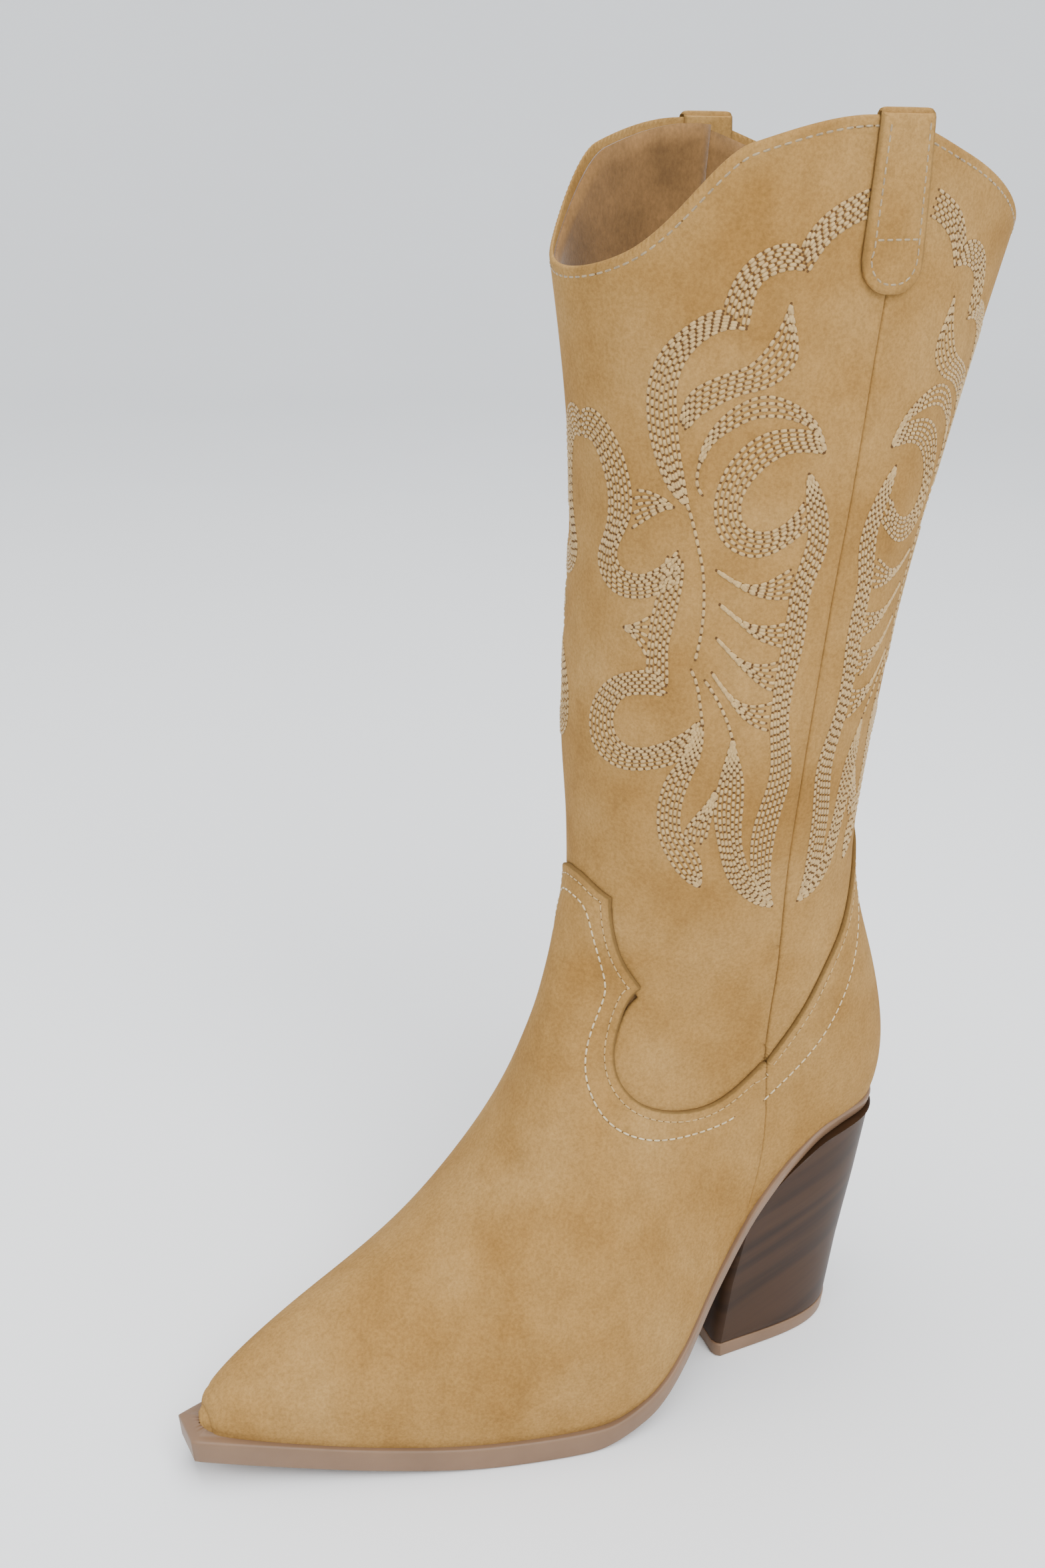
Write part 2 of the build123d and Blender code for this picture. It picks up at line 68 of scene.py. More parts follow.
TOPLINE = [(-60, 341), (-39, 361.5), (-13, 386), (23, 403), (58, 412.5), (93, 405), (120, 376),
           (137, 366), (150, 362)]
SOLE_TOP = [(-5, 87.3), (15, 87), (30, 85), (45, 77.5), (60, 65), (77, 44.5), (95, 25),
            (112, 13.5), (130, 8.8), (165, 9), (200, 11.3), (230, 14.8), (260, 18.6)]
SOLE_BOTTOM_SHANK = [(-5, 83), (15, 82.5), (30, 80.3), (45, 72.3), (60, 59), (77, 37.3), (95, 17.3),
                     (112, 5.3), (135, 0)]
SOLE_BOTTOM_TOE = [(160, 0), (200, 2.6), (230, 6), (260, 9.9)]
SIDE_SEAM = [(430, 41), (367, 50), (316, 56), (273, 61.5), (229, 64.5), (205, 64.5),
             (169, 62.5), (119, 61), (95, 59.5), (84, 60.5), (71, 63.5), (60, 67), (35, 76)]

# Edges of the pieces that lap over the shaft, as (angle, height), outer side
VAMP_TOP = [(0, 187), (9, 186.3), (17, 184), (24.5, 182)]
VAMP_FLANK = [(26.5, 174.5), (31, 166), (36.5, 159), (44.3, 151.5)]
VAMP_SCOOP = [(44.3, 151.5), (41.6, 147), (41, 140), (42.3, 130), (48, 120), (60, 111.3),
              (75, 107), (84, 110)]
COUNTER_TOP = [(95, 133), (105, 149.5), (119, 162), (132, 173), (145, 183), (160, 191.5), (180, 196)]
SEAM_TOP_HEIGHT = 119

# Layers, as offsets from the tube
FOXING_OUT, SHAFT_OUT, PANEL_THICK = 0.8, -0.5, 1.3
LINING_OUT = -1.8

# The outsole seen from above, as (x, half width)
SOLE_OUTLINE = [(235, 16.5), (200, 31), (170, 41.7), (140, 49.5), (120, 51), (100, 47),
                (80, 37.8), (60, 32.8), (40, 30), (20, 26), (5, 18.5), (-2.2, 0)]
TOE_FLAT_X, TOE_FLAT_HALF = 255.5, 7.3
HEEL_SECTIONS = [(5.7, 11.5, 72, 27.3), (30, 8, 69, 28), (58, 3.5, 64, 30), (88, -1.2, 58, 31)]
BREAST_HOLLOW = 3.0

# The zip, on the inner side
ZIP_FOOT = np.array([62.5, -31.2, 124.0])
ZIP_HEAD = np.array([58.0, -49.6, 344.0])
ZIP_BOW = 6.0
SLOT_HALF = 5.6


# --- Curves -----------------------------------------------------------------------------
def curvatures(values):
    """Second derivatives of the cubic through evenly spaced values."""
    count = len(values)
    matrix = np.zeros((count, count))
    matrix[0, :3] = matrix[-1, -3:] = (1, -2, 1)
    right = np.zeros(count)
    for row in range(1, count - 1):
        matrix[row, row - 1:row + 2] = (1, 4, 1)
        right[row] = 6 * (values[row - 1] - 2 * values[row] + values[row + 1])
    return np.linalg.solve(matrix, right)


def cubic(values):
    """A smooth function through evenly spaced values."""
    values = np.asarray(values, float)
    second = curvatures(values)

    def at(place):
        place = np.asarray(place, float)
        low = np.clip(np.floor(place).astype(int), 0, len(values) - 2)
        b = place - low
        a = 1 - b
        return (a * values[low] + b * values[low + 1]
                + ((a ** 3 - a) * second[low] + (b ** 3 - b) * second[low + 1]) / 6)
    return at


def monotone(points):
    """A smooth y(x) through points sorted by x, with no overshoot."""
    points = np.array(sorted(points), float)
    x, y = points[:, 0], points[:, 1]
    step = np.diff(x)
    slope = np.diff(y) / step
    middle = np.zeros(len(x))
    inner = slope[:-1] * slope[1:] > 0
    weight = (step[1:] + 2 * step[:-1], 2 * step[1:] + step[:-1])
    harmonic = (weight[0] + weight[1]) / (weight[0] / np.where(inner, slope[:-1], 1)
                                          + weight[1] / np.where(inner, slope[1:], 1))
    middle[1:-1] = np.where(inner, harmonic, 0)
    middle[0], middle[-1] = slope[0], slope[-1]

    def at(place):
        place = np.asarray(place, float)
        low = np.clip(np.searchsorted(x, place) - 1, 0, len(x) - 2)
        t = (place - x[low]) / step[low]
        t = np.clip(t, -0.5, 1.5)
        return ((2 * t ** 3 - 3 * t ** 2 + 1) * y[low] + (t ** 3 - 2 * t ** 2 + t) * step[low] * middle[low]
                + (3 * t ** 2 - 2 * t ** 3) * y[low + 1] + (t ** 3 - t ** 2) * step[low] * middle[low + 1])
    return at


def smooth_line(points, spacing):
    """Points evenly spaced along the smooth line through a few given ones."""
    points = np.asarray(points, float)
    if len(points) < 3:
        fine = points
    else:
        place = np.linspace(0, len(points) - 1, 24 * len(points))
        fine = np.stack([cubic(points[:, axis])(place) for axis in range(points.shape[1])], 1)
    return even_line(fine, spacing)


def even_line(fine, spacing):
    """The same line with points a given distance apart."""
    length = np.concatenate([[0], np.cumsum(np.linalg.norm(np.diff(fine, axis=0), axis=1))])
    count = max(int(round(length[-1] / spacing)), 1)
    wanted = np.linspace(0, length[-1], count + 1)
    return np.stack([np.interp(wanted, length, fine[:, axis]) for axis in range(fine.shape[1])], 1)


def unit(vectors):
    return vectors / np.maximum(np.linalg.norm(vectors, axis=-1, keepdims=True), 1e-12)


TUBE = [cubic(v) for v in (
    [p[0] for p in FRONT_LINE], [p[1] for p in FRONT_LINE],
    [p[0] for p in BACK_LINE], [p[1] for p in BACK_LINE],
    HALF_WIDTH, WIDEST_AT, FRONT_POWER, BACK_POWER)]
TOE_CAP = 3.3                # how far the toe's rounded cap reaches past the first station
topline = monotone(TOPLINE)
sole_top = monotone(SOLE_TOP)
sole_bottom = monotone(SOLE_BOTTOM_SHANK + SOLE_BOTTOM_TOE)
seam_x = monotone(SIDE_SEAM)


def tube(angle, station):
    """Points of the upper's tube. Stations from 0 to -1 are the toe's rounded cap."""
    angle, station = np.broadcast_arrays(np.asarray(angle, float), np.asarray(station, float))
    within = np.maximum(station, 0)
    fx, fz, bx, bz, half, widest, front, back = [c(within) for c in TUBE]
    c, s = np.cos(np.radians(angle)), np.sin(np.radians(angle))
    power = 2 / np.where(c >= 0, front, back)
    along = np.sign(c) * np.abs(c) ** power
    across = np.sign(s) * np.abs(s) ** power
    place = widest + np.where(c >= 0, 1 - widest, widest) * along
    points = np.stack([bx + (fx - bx) * place, half * across, bz + (fz - bz) * place], -1)
    share = np.clip(1 + station, 0, 1)[..., None]
    centre = np.stack([(fx + bx) / 2, 0 * fx, (fz + bz) / 2], -1)
    capped = centre + (points - centre) * share + np.array([1, 0, .25]) * TOE_CAP * (1 - share ** 2)
    return np.where(station[..., None] < 0, capped, points)


def normals(angle, station):
    """Outward unit normals of the tube."""
    step = 0.01
    around = tube(angle + 1, station) - tube(angle - 1, station)
    low = np.maximum(station - step, -1)
    along = tube(angle, station + step) - tube(angle, low)
    return unit(np.cross(around, along))


def ripple(angle, station):
    """Soft unevenness of the leg, in millimetres. None on the inner side, by the zip."""
    a, s = np.radians(angle), station
    wave = (np.sin(2.1 * a + 1.7 * s) + .7 * np.sin(3.3 * a - 2.6 * s + 1.1)
            + .5 * np.sin(5.2 * a + 4.1 * s + 2.3) + .35 * np.sin(1.3 * a - 6.3 * s + .4))
    off_zip = np.clip((np.abs(angle + 90) - 12) / 22, 0, 1)
    leg = np.clip((s - 4.6) / 1.2, 0, 1) * .55 + np.clip((s - .8) / 1.5, 0, 1) * .1
    return .42 * wave * leg * off_zip


def surface(angle, station, offset=0.0):
    """Points off the tube by an offset, with the leg's unevenness."""
    angle, station = np.asarray(angle, float), np.asarray(station, float)
    lift = np.asarray(offset + ripple(angle, station))
    return tube(angle, station) + normals(angle, station) * lift[..., None]


def station_at_height(angle, height):
    """The station where the leg's tube reaches a height, at each angle."""
    angle, height = np.broadcast_arrays(np.asarray(angle, float), np.asarray(height, float))
    low, high = np.full(angle.shape, 4.05), np.full(angle.shape, 11.7)
    for _ in range(24):
        middle = (low + high) / 2
        below = tube(angle, middle)[..., 2] < height
        low, high = np.where(below, middle, low), np.where(below, high, middle)
    return (low + high) / 2


def at_side(x, height, side):
    """The (angle, station) of points seen from the side at x and height. side is 1 or -1."""
    x, height = np.broadcast_arrays(np.asarray(x, float), np.asarray(height, float))
    grid_angle, grid_station = np.meshgrid(np.arange(20, 170, 3.0), np.arange(3, 11.7, .1))
    grid = tube(grid_angle, grid_station)[..., [0, 2]].reshape(-1, 2)
    answer = np.zeros(x.shape + (2,))
    for index in np.ndindex(x.shape):
        wanted = np.array([x[index], height[index]])
        best = np.argmin(np.sum((grid - wanted) ** 2, 1))
        guess = np.array([grid_angle.ravel()[best], grid_station.ravel()[best]])
        for _ in range(8):
            here = tube(guess[0], guess[1])[[0, 2]]
            slope = np.stack([tube(guess[0] + .1, guess[1])[[0, 2]] - here,
                              tube(guess[0], guess[1] + .01)[[0, 2]] - here], 1) / [.1, .01]
            guess = guess + np.linalg.solve(slope, wanted - here)
        answer[index] = guess
    answer[..., 0] *= side
    return answer


FEATHER_DEPTH = 2.0          # how far the upper goes on below the sole's top face


def feather_angle(station, depth=FEATHER_DEPTH, offset=0.0):
    """The angle at which a layer goes under the sole's top, at each station of the forefoot."""
    low, high = np.full(np.shape(station), 40.0), np.full(np.shape(station), 180.0)
    for _ in range(24):
        middle = (low + high) / 2
        point = surface(middle, station, offset)
        above = point[..., 2] > sole_top(point[..., 0]) - depth
        low, high = np.where(above, middle, low), np.where(above, high, middle)
    return (low + high) / 2


def feather_station(angle, depth=FEATHER_DEPTH, offset=0.0):
    """The station at which a layer goes under the sole's top, at each angle round the heel."""
    low, high = np.full(np.shape(angle), 3.0), np.full(np.shape(angle), 6.3)
    for _ in range(24):
        middle = (low + high) / 2
        point = surface(angle, middle, offset)
        above = point[..., 2] > sole_top(point[..., 0]) - depth
        low, high = np.where(above, low, middle), np.where(above, middle, high)
    return (low + high) / 2


STATION_LENGTH = 43.0        # about one station along the tube, for laying out triangles


def flat(places):
    """(angle, station) in a plane where both directions are roughly millimetres."""
    return np.asarray(places) * [1.0, STATION_LENGTH]


# --- Meshes -----------------------------------------------------------------------------
def metres(points):
    return (np.asarray(points, float) + SHIFT) * MM


def mesh_piece(name, points, faces, materials, body="boot", which=None, edge=None, smooth=True):
    """A mesh in the row frame, from points in the working frame, that rides on a body."""
    mesh = bpy.data.meshes.new(name)
    faces = np.asarray(faces, int)
    count, sides = faces.shape
    mesh.vertices.add(len(points))
    mesh.vertices.foreach_set("co", metres(points).ravel())
    mesh.loops.add(count * sides)
    mesh.loops.foreach_set("vertex_index", faces.ravel())
    mesh.polygons.add(count)
    mesh.polygons.foreach_set("loop_start", np.arange(count) * sides)
    for material in materials:
        mesh.materials.append(material)
    if which is not None:
        mesh.polygons.foreach_set("material_index", np.asarray(which, int))
    mesh.polygons.foreach_set("use_smooth", np.full(count, smooth))
    if edge is not None:
        attribute = mesh.attributes.new("edge", "FLOAT", "POINT")
        attribute.data.foreach_set("value", np.asarray(edge, np.float32))
    mesh.update(calc_edges=True)
    mesh.validate()
    piece = bpy.data.objects.new(name, mesh)
    bpy.context.scene.collection.objects.link(piece)
    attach(piece, body)
    return piece


def inside(points, outline):
    """Which points are inside a closed outline."""
    x, y = points[:, 0][:, None], points[:, 1][:, None]
    x0, y0 = outline[:, 0], outline[:, 1]
    x1, y1 = np.roll(x0, -1), np.roll(y0, -1)
    crosses = (y0 > y) != (y1 > y)
    at = x0 + (y - y0) * (x1 - x0) / np.where(y1 == y0, 1e-9, y1 - y0)
    return np.sum(crosses & (x < at), axis=1) % 2 == 1


def nearest(points, targets):
    """Distance from each point to the nearest target."""
    tree = KDTree(len(targets))
    for index, target in enumerate(targets):
        tree.insert(target, index)
    tree.balance()
    return np.array([tree.find(p)[2] for p in points])


EDGE_ROWS = (0.18, 0.5, 1.0, 1.9)
GRID = 1.7


def inward(outline):
    """For each point of a closed (angle, station) outline, a step of 1 mm into the panel."""
    after, before = np.roll(outline, -1, 0), np.roll(outline, 1, 0)
    here = tube(outline[:, 0], outline[:, 1])
    tangent = unit(tube(after[:, 0], after[:, 1]) - tube(before[:, 0], before[:, 1]))
    side = np.cross(normals(outline[:, 0], outline[:, 1]), tangent)
    by_angle = tube(outline[:, 0] + .2, outline[:, 1]) - here
    by_station = tube(outline[:, 0], outline[:, 1] + .01) - here
    steps = []
    for p, q, s in zip(by_angle / .2, by_station / .01, side):
        steps.append(np.linalg.lstsq(np.stack([p, q], 1), s, rcond=None)[0])
    steps = np.array(steps)
    area = np.sum(outline[:, 0] * np.roll(outline[:, 1], -1) - np.roll(outline[:, 0], -1) * outline[:, 1])
    return steps * (1 if area > 0 else -1)


def triangulate(outline, spacing):
    """Points (angle, station) and triangles of a panel, with rows of points by its edge."""
    steps = inward(outline)
    border = flat(outline)
    groups = [border]
    border_3d = tube(outline[:, 0], outline[:, 1])
    for depth in EDGE_ROWS:
        row = outline + steps * depth
        far = nearest(tube(row[:, 0], row[:, 1]), border_3d)
        keep = (far > depth * .9 - .02) & inside(flat(row), border)
        groups.append(flat(row[keep]))
    low, high = border.min(0), border.max(0)
    rise = spacing * math.sqrt(3) / 2
    rows = []
    for number, y in enumerate(np.arange(low[1], high[1], rise)):
        x = np.arange(low[0] + (number % 2) * spacing / 2, high[0], spacing)
        rows.append(np.stack([x, np.full(len(x), y)], 1))
    grid = np.vstack(rows)
    grid = grid[inside(grid, border)]
    place = grid / [1.0, STATION_LENGTH]
    far = nearest(tube(place[:, 0], place[:, 1]), border_3d)
    groups.append(grid[far > EDGE_ROWS[-1] + .6 * spacing])
    points = np.vstack(groups)
    count = len(border)
    edges = [(i, (i + 1) % count) for i in range(count)]
    made = delaunay_2d_cdt([Vector(p) for p in points], edges, [], 1, 1e-7)
    places = np.array([tuple(v) for v in made[0]]) / [1.0, STATION_LENGTH]
    triangles = np.array([f for f in made[2] if len(f) == 3])
    flat_points = flat(places)
    a, b, c = (flat_points[triangles[:, i]] for i in range(3))
    turn = (b[:, 0] - a[:, 0]) * (c[:, 1] - a[:, 1]) - (b[:, 1] - a[:, 1]) * (c[:, 0] - a[:, 0])
    triangles = triangles[np.abs(turn) > 1e-9]
    turn = turn[np.abs(turn) > 1e-9]
    triangles[turn < 0] = triangles[turn < 0][:, ::-1]
    return places, triangles


def border_loops(triangles):
    """Edges that only one triangle has, as directed pairs."""
    pairs = np.vstack([triangles[:, [0, 1]], triangles[:, [1, 2]], triangles[:, [2, 0]]])
    seen = set(map(tuple, pairs.tolist()))
    return np.array([p for p in seen if (p[1], p[0]) not in seen])


RAW_EDGE_SHADE_WIDTH = 0.55             # how far the darker band at a raw edge reaches in: its own tone plus painted shade
EDGE_ROUND = 0.7             # the rounding of a cut edge, and of an edge turned in at a seam
SEAM_ROUND = 1.3
TOP_ROW = 2.9                # the topline's stitches run this far below the edge


def panel(name, outline, offset, node, detail, raw_edge_shade_line=None, round_off=EDGE_ROUND):
    """A suede panel on the tube: rounded edges, a back face and a closed rim.

    The given stretch of its edge that is left raw is darker: partly the raw edge's own tone, partly painted
    shade."""
    outline = even_line(np.vstack([flat(outline), flat(outline[:1])]), 1.3)[:-1] / [1.0, STATION_LENGTH]
    places, triangles = triangulate(outline, GRID)
    angle, station = places[:, 0], places[:, 1]
    base = tube(angle, station)
    far = nearest(base, tube(outline[:, 0], outline[:, 1]))
    near = np.clip(far / round_off, 0, 1)
    drop = round_off * .75 * (1 - np.sqrt(np.clip(1 - (1 - near) ** 2, 0, 1)))
    lift = offset - drop + detail(far)
    front = surface(angle, station, lift)
    back = surface(angle, station, offset - PANEL_THICK)
    count = len(front)
    rim = border_loops(triangles)
    rim_faces = np.vstack([np.stack([rim[:, 1], rim[:, 0], rim[:, 0] + count], 1),
                           np.stack([rim[:, 1], rim[:, 0] + count, rim[:, 1] + count], 1)])
    faces = np.vstack([triangles, triangles[:, ::-1] + count, rim_faces])
    edge = np.zeros(count)
    if raw_edge_shade_line is not None:
        # Darker towards the raw edge: partly the raw edge's own tone, partly painted shade.
        to_raw_edge_shade = nearest(base, tube(raw_edge_shade_line[:, 0], raw_edge_shade_line[:, 1]))
        edge = 1 - np.clip((to_raw_edge_shade - RAW_EDGE_SHADE_WIDTH) / RAW_EDGE_SHADE_WIDTH, 0, 1)
    edge = np.concatenate([edge, edge])
    piece = mesh_piece(name, np.vstack([front, back]), faces, [SUEDE], edge=edge)
    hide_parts(node)


# --- Materials --------------------------------------------------------------------------
class Nodes:
    """A material's node tree, with short names for what is used often."""

    def __init__(self, name):
        self.material = bpy.data.materials.new(name)
        self.material.use_nodes = True
        self.tree = self.material.node_tree
        self.shader = self.tree.nodes["Principled BSDF"]
        self.place = self.add("ShaderNodeTexCoord").outputs["Object"]

    def add(self, kind, **settings):
        node = self.tree.nodes.new(kind)
        for key, value in settings.items():
            setattr(node, key, value)
        return node

    def link(self, source, target):
        self.tree.links.new(source, target)

    def mapped(self, scale, rotation=(0, 0, 0)):
        node = self.add("ShaderNodeMapping")
        node.inputs["Scale"].default_value = scale
        node.inputs["Rotation"].default_value = rotation
        self.link(self.place, node.inputs["Vector"])
        return node.outputs["Vector"]

    def noise(self, size, detail=3.0, roughness=.55, place=None, distortion=0.0):
        """Noise with features of about a size in millimetres."""
        node = self.add("ShaderNodeTexNoise")
        node.inputs["Scale"].default_value = 1 / (size * MM)
        node.inputs["Detail"].default_value = detail
        node.inputs["Roughness"].default_value = roughness
        node.inputs["Distortion"].default_value = distortion
        self.link(self.place if place is None else place, node.inputs["Vector"])
        return node.outputs["Fac"]

    def ramp(self, source, stops):
        node = self.add("ShaderNodeValToRGB")
        ramp = node.color_ramp
        while len(ramp.elements) < len(stops):
            ramp.elements.new(.5)
        for element, (position, colour) in zip(ramp.elements, stops):
            element.position = position
            element.color = (*colour, 1)
        self.link(source, node.inputs["Fac"])
        return node.outputs["Color"]

    def mix(self, blend, factor, first, second):
        node = self.add("ShaderNodeMix", data_type="RGBA", blend_type=blend)
        for socket, value in ((node.inputs["Factor"], factor), (node.inputs[6], first),
                              (node.inputs[7], second)):
            if isinstance(value, bpy.types.NodeSocket):
                self.link(value, socket)
            elif isinstance(value, tuple):
                socket.default_value = (*value, 1)
            else:
                socket.default_value = value
        return node.outputs[2]

    def math(self, operation, first, second):
        node = self.add("ShaderNodeMath", operation=operation)
        for socket, value in zip(node.inputs, (first, second)):
            if isinstance(value, bpy.types.NodeSocket):
                self.link(value, socket)
            else:
                socket.default_value = value
        return node.outputs[0]

    def bump(self, height, strength, distance_mm):
        node = self.add("ShaderNodeBump")
        node.inputs["Strength"].default_value = strength
        node.inputs["Distance"].default_value = distance_mm * MM
        self.link(height, node.inputs["Height"])
        self.link(node.outputs["Normal"], self.shader.inputs["Normal"])

    def set(self, **sockets):
        for name, value in sockets.items():
            self.shader.inputs[name.replace("_", " ")].default_value = value


def srgb(red, green, blue):
    """A colour given as 0 to 255, as linear values."""
    return tuple(((c / 255 + .055) / 1.055) ** 2.4 if c > 10 else c / 255 / 12.92
                 for c in (red, green, blue))


def suede(name, base, dark, light):
    """Faux suede: cloudy nap, short brushed streaks and fine grain; darker at cut edges, partly the raw
    edge's own tone and partly painted shade.
    """
    n = Nodes(name)
    clouds = n.noise(30, 2.5, .5)
    brushed = n.noise(5, 4, .6, n.mapped((1, 1, .5)))
    grain = n.noise(.7, 3, .62)
    colour = n.ramp(clouds, [(.30, dark), (.50, base), (.74, light)])
    streaks = n.ramp(brushed, [(.25, (.88, .87, .85)), (.75, (1.08, 1.08, 1.08))])
    colour = n.mix("MULTIPLY", .8, colour, streaks)
    speckle = n.ramp(n.noise(1.1, 4, .7), [(.36, (.80, .78, .74)), (.64, (1.14, 1.14, 1.14))])
    colour = n.mix("MULTIPLY", .8, colour, speckle)
    # The edge attribute darkens the colour by raw edges: partly the raw edge's own tone, partly painted
    # shade.
    edge = n.add("ShaderNodeAttribute", attribute_name="edge").outputs["Fac"]
    raw_edge_and_shade = n.math("MULTIPLY", edge, .75)
    colour = n.mix("MIX", raw_edge_and_shade, colour, tuple(c * .34 for c in base))
    n.link(colour, n.shader.inputs["Base Color"])
    height = n.math("ADD", n.math("MULTIPLY", grain, .8), n.noise(2.0, 3, .6))
    n.bump(height, .55, .3)
    n.set(Roughness=.95, Specular_IOR_Level=.12, Sheen_Weight=.1, Sheen_Roughness=.4)
    n.set(Sheen_Tint=(*light, 1))
    return n.material


def thread(name, base, dark):
    """Sewing thread: fine twist and a slight shine."""
    n = Nodes(name)
    colour = n.ramp(n.noise(1.4, 2), [(.3, dark), (.6, base)])
    n.link(colour, n.shader.inputs["Base Color"])
    n.bump(n.noise(.22, 1), .3, .08)
    n.set(Roughness=.5, Specular_IOR_Level=.4, Sheen_Weight=.15)
    return n.material


def plain(name, base, roughness, grain=1.2, depth=.1, metallic=0.0, spread=.12):
    """A simple moulded, woven or metal finish with slight colour and height variation."""
    n = Nodes(name)
    low = tuple(c * (1 - spread) for c in base)
    high = tuple(min(c * (1 + spread), 1) for c in base)
    clouds = n.noise(14, 4)
    n.link(n.ramp(clouds, [(.3, low), (.7, high)]), n.shader.inputs["Base Color"])
    n.bump(n.noise(grain, 3), .3, depth)
    n.set(Roughness=roughness, Metallic=metallic, Specular_IOR_Level=.4)
    return n.material


def microfibre(name, base):
    """The lining: brushed, a little blotchy, with short fibres."""
    n = Nodes(name)
    blotch = n.ramp(n.noise(22, 4, .6), [(.3, tuple(c * .72 for c in base)),
                                         (.7, tuple(c * 1.25 for c in base))])
    fibre = n.ramp(n.noise(1.1, 3, .7, n.mapped((1, 1, .6))),
                   [(.3, (.72, .72, .72)), (.7, (1.2, 1.2, 1.2))])
    n.link(n.mix("MULTIPLY", .7, blotch, fibre), n.shader.inputs["Base Color"])
    n.bump(n.noise(.9, 3), .4, .3)
    n.set(Roughness=.95, Specular_IOR_Level=.15, Sheen_Weight=.3, Sheen_Roughness=.4)
    return n.material


def stacked_heel(name, base, dark):
    """The heel's wrap: dark taupe with faint slanting layer streaks."""
    n = Nodes(name)
    tilted = n.mapped((1, 1, 1), (0, math.radians(-20), 0))
    stretched = n.add("ShaderNodeMapping")
    stretched.inputs["Scale"].default_value = (.06, .06, 1)
    n.link(tilted, stretched.inputs["Vector"])
    layers = n.noise(6, 3, .5, stretched.outputs["Vector"], .2)
    colour = n.ramp(layers, [(.32, dark), (.55, base), (.78, tuple(c * 1.12 for c in base))])
    fine = n.noise(1.0, 2, .5, stretched.outputs["Vector"])
    colour = n.mix("MULTIPLY", .5, colour, n.ramp(fine, [(.3, (.85, .85, .85)), (.7, (1.1, 1.1, 1.1))]))
    n.link(colour, n.shader.inputs["Base Color"])
    n.bump(layers, .12, .15)
    n.set(Roughness=.5, Specular_IOR_Level=.25)
    return n.material


def moulded(name, base):
    """The outsole's rubber: satin, with faint scuffs and mould texture."""
    n = Nodes(name)
    clouds = n.noise(26, 3)
    colour = n.ramp(clouds, [(.3, tuple(c * .90 for c in base)), (.7, tuple(c * 1.10 for c in base))])
    n.link(colour, n.shader.inputs["Base Color"])
    scuff = n.noise(3.0, 5, .65)
    rough = n.add("ShaderNodeMapRange")
    rough.inputs["To Min"].default_value = .38
    rough.inputs["To Max"].default_value = .60
    n.link(scuff, rough.inputs["Value"])
    n.link(rough.outputs["Result"], n.shader.inputs["Roughness"])
    n.bump(n.noise(.7, 2), .12, .1)
    n.set(Specular_IOR_Level=.42)
    return n.material


SUEDE_BASE = srgb(154, 119, 68)
SUEDE = suede("tan_suede", SUEDE_BASE, srgb(142, 106, 56), srgb(163, 129, 78))
THREAD = thread("cream_thread", srgb(184, 153, 100), srgb(160, 128, 78))
GREY_THREAD = thread("grey_thread", srgb(160, 140, 106), srgb(124, 104, 74))
PALE_THREAD = thread("pale_thread", srgb(206, 188, 150), srgb(176, 154, 112))
# The needle holes' colour is painted shade: the dark inside of each hole.
NEEDLE_HOLE_SHADE = plain("needle_hole_shade", srgb(86, 58, 28), .95)
LINING = microfibre("brown_lining", srgb(127, 95, 58))
SOLE = moulded("rosy_rubber", srgb(121, 94, 71))
HEEL = stacked_heel("taupe_stack", srgb(56, 36, 20), srgb(38, 23, 12))
BOARD = plain("fibre_board", srgb(172, 150, 118), .85, 1.5, .3)
STIFF = plain("stiffener_sheet", srgb(205, 198, 182), .6)
STEEL = plain("plain_steel", srgb(170, 170, 172), .35, .6, .05, 1.0)
BRASS = plain("aged_metal", srgb(120, 104, 78), .38, .8, .05, 1.0, .2)
TAPE = plain("woven_tape", srgb(74, 62, 50), .9, .5, .3)
COIL = plain("nylon_coil", srgb(78, 66, 54), .42, .6, .05)


# --- Panels of the upper ----------------------------------------------------------------
def heights(points):
    """(angle, height) points as (angle, station)."""
    points = np.asarray(points, float)
    return np.stack([points[:, 0], station_at_height(points[:, 0], points[:, 1])], 1)


def other_side(line):
    return np.asarray(line)[::-1] * [-1, 1]


def joined(*lines):
    """Lines end to end, with doubled points left out."""
    whole = np.vstack(lines)
    keep = np.concatenate([[True], np.linalg.norm(np.diff(flat(whole), axis=0), axis=1) > .15])
    return whole[keep]


def foxing_edge():
    """The vamp's top edge on the outer side, from its peak to the side seam."""
    top = smooth_line(flat(heights(VAMP_TOP)), 1) / [1, STATION_LENGTH]
    flank = smooth_line(flat(heights([VAMP_TOP[-1], *VAMP_FLANK])), 1) / [1, STATION_LENGTH]
    seam = at_side(seam_x(SEAM_TOP_HEIGHT), SEAM_TOP_HEIGHT, 1)
    scoop = np.vstack([heights(VAMP_SCOOP), seam[None]])
    scoop = smooth_line(flat(scoop), 1) / [1, STATION_LENGTH]
    return joined(top, flank, scoop)


def low_seam():
    """The side seam between the vamp and the counter cover, from its top down to the sole."""
    height = np.array([SEAM_TOP_HEIGHT, 112, 104, 95, 88, 82, 76, 70, 64, 60])
    line = at_side(seam_x(height), height, 1)
    return line


def feather_front(start):
    """Where the vamp goes into the sole, from the side seam to the toe."""
    station = np.concatenate([np.linspace(start[1], 0, 60), np.linspace(0, -1, 14)[1:]])
    return np.stack([feather_angle(station), station], 1)


EDGE = foxing_edge()
SEAM = low_seam()


def vamp_outline():
    half = joined(EDGE, SEAM[1:-1], feather_front(SEAM[-1]))
    whole = joined(half, other_side(half)[:-1])
    return whole[:-1] if np.allclose(whole[0], whole[-1]) else whole


def counter_edge():
    seam = EDGE[-1]
    line = np.vstack([seam[None], heights(COUNTER_TOP)])
    return smooth_line(flat(line), 1) / [1, STATION_LENGTH]


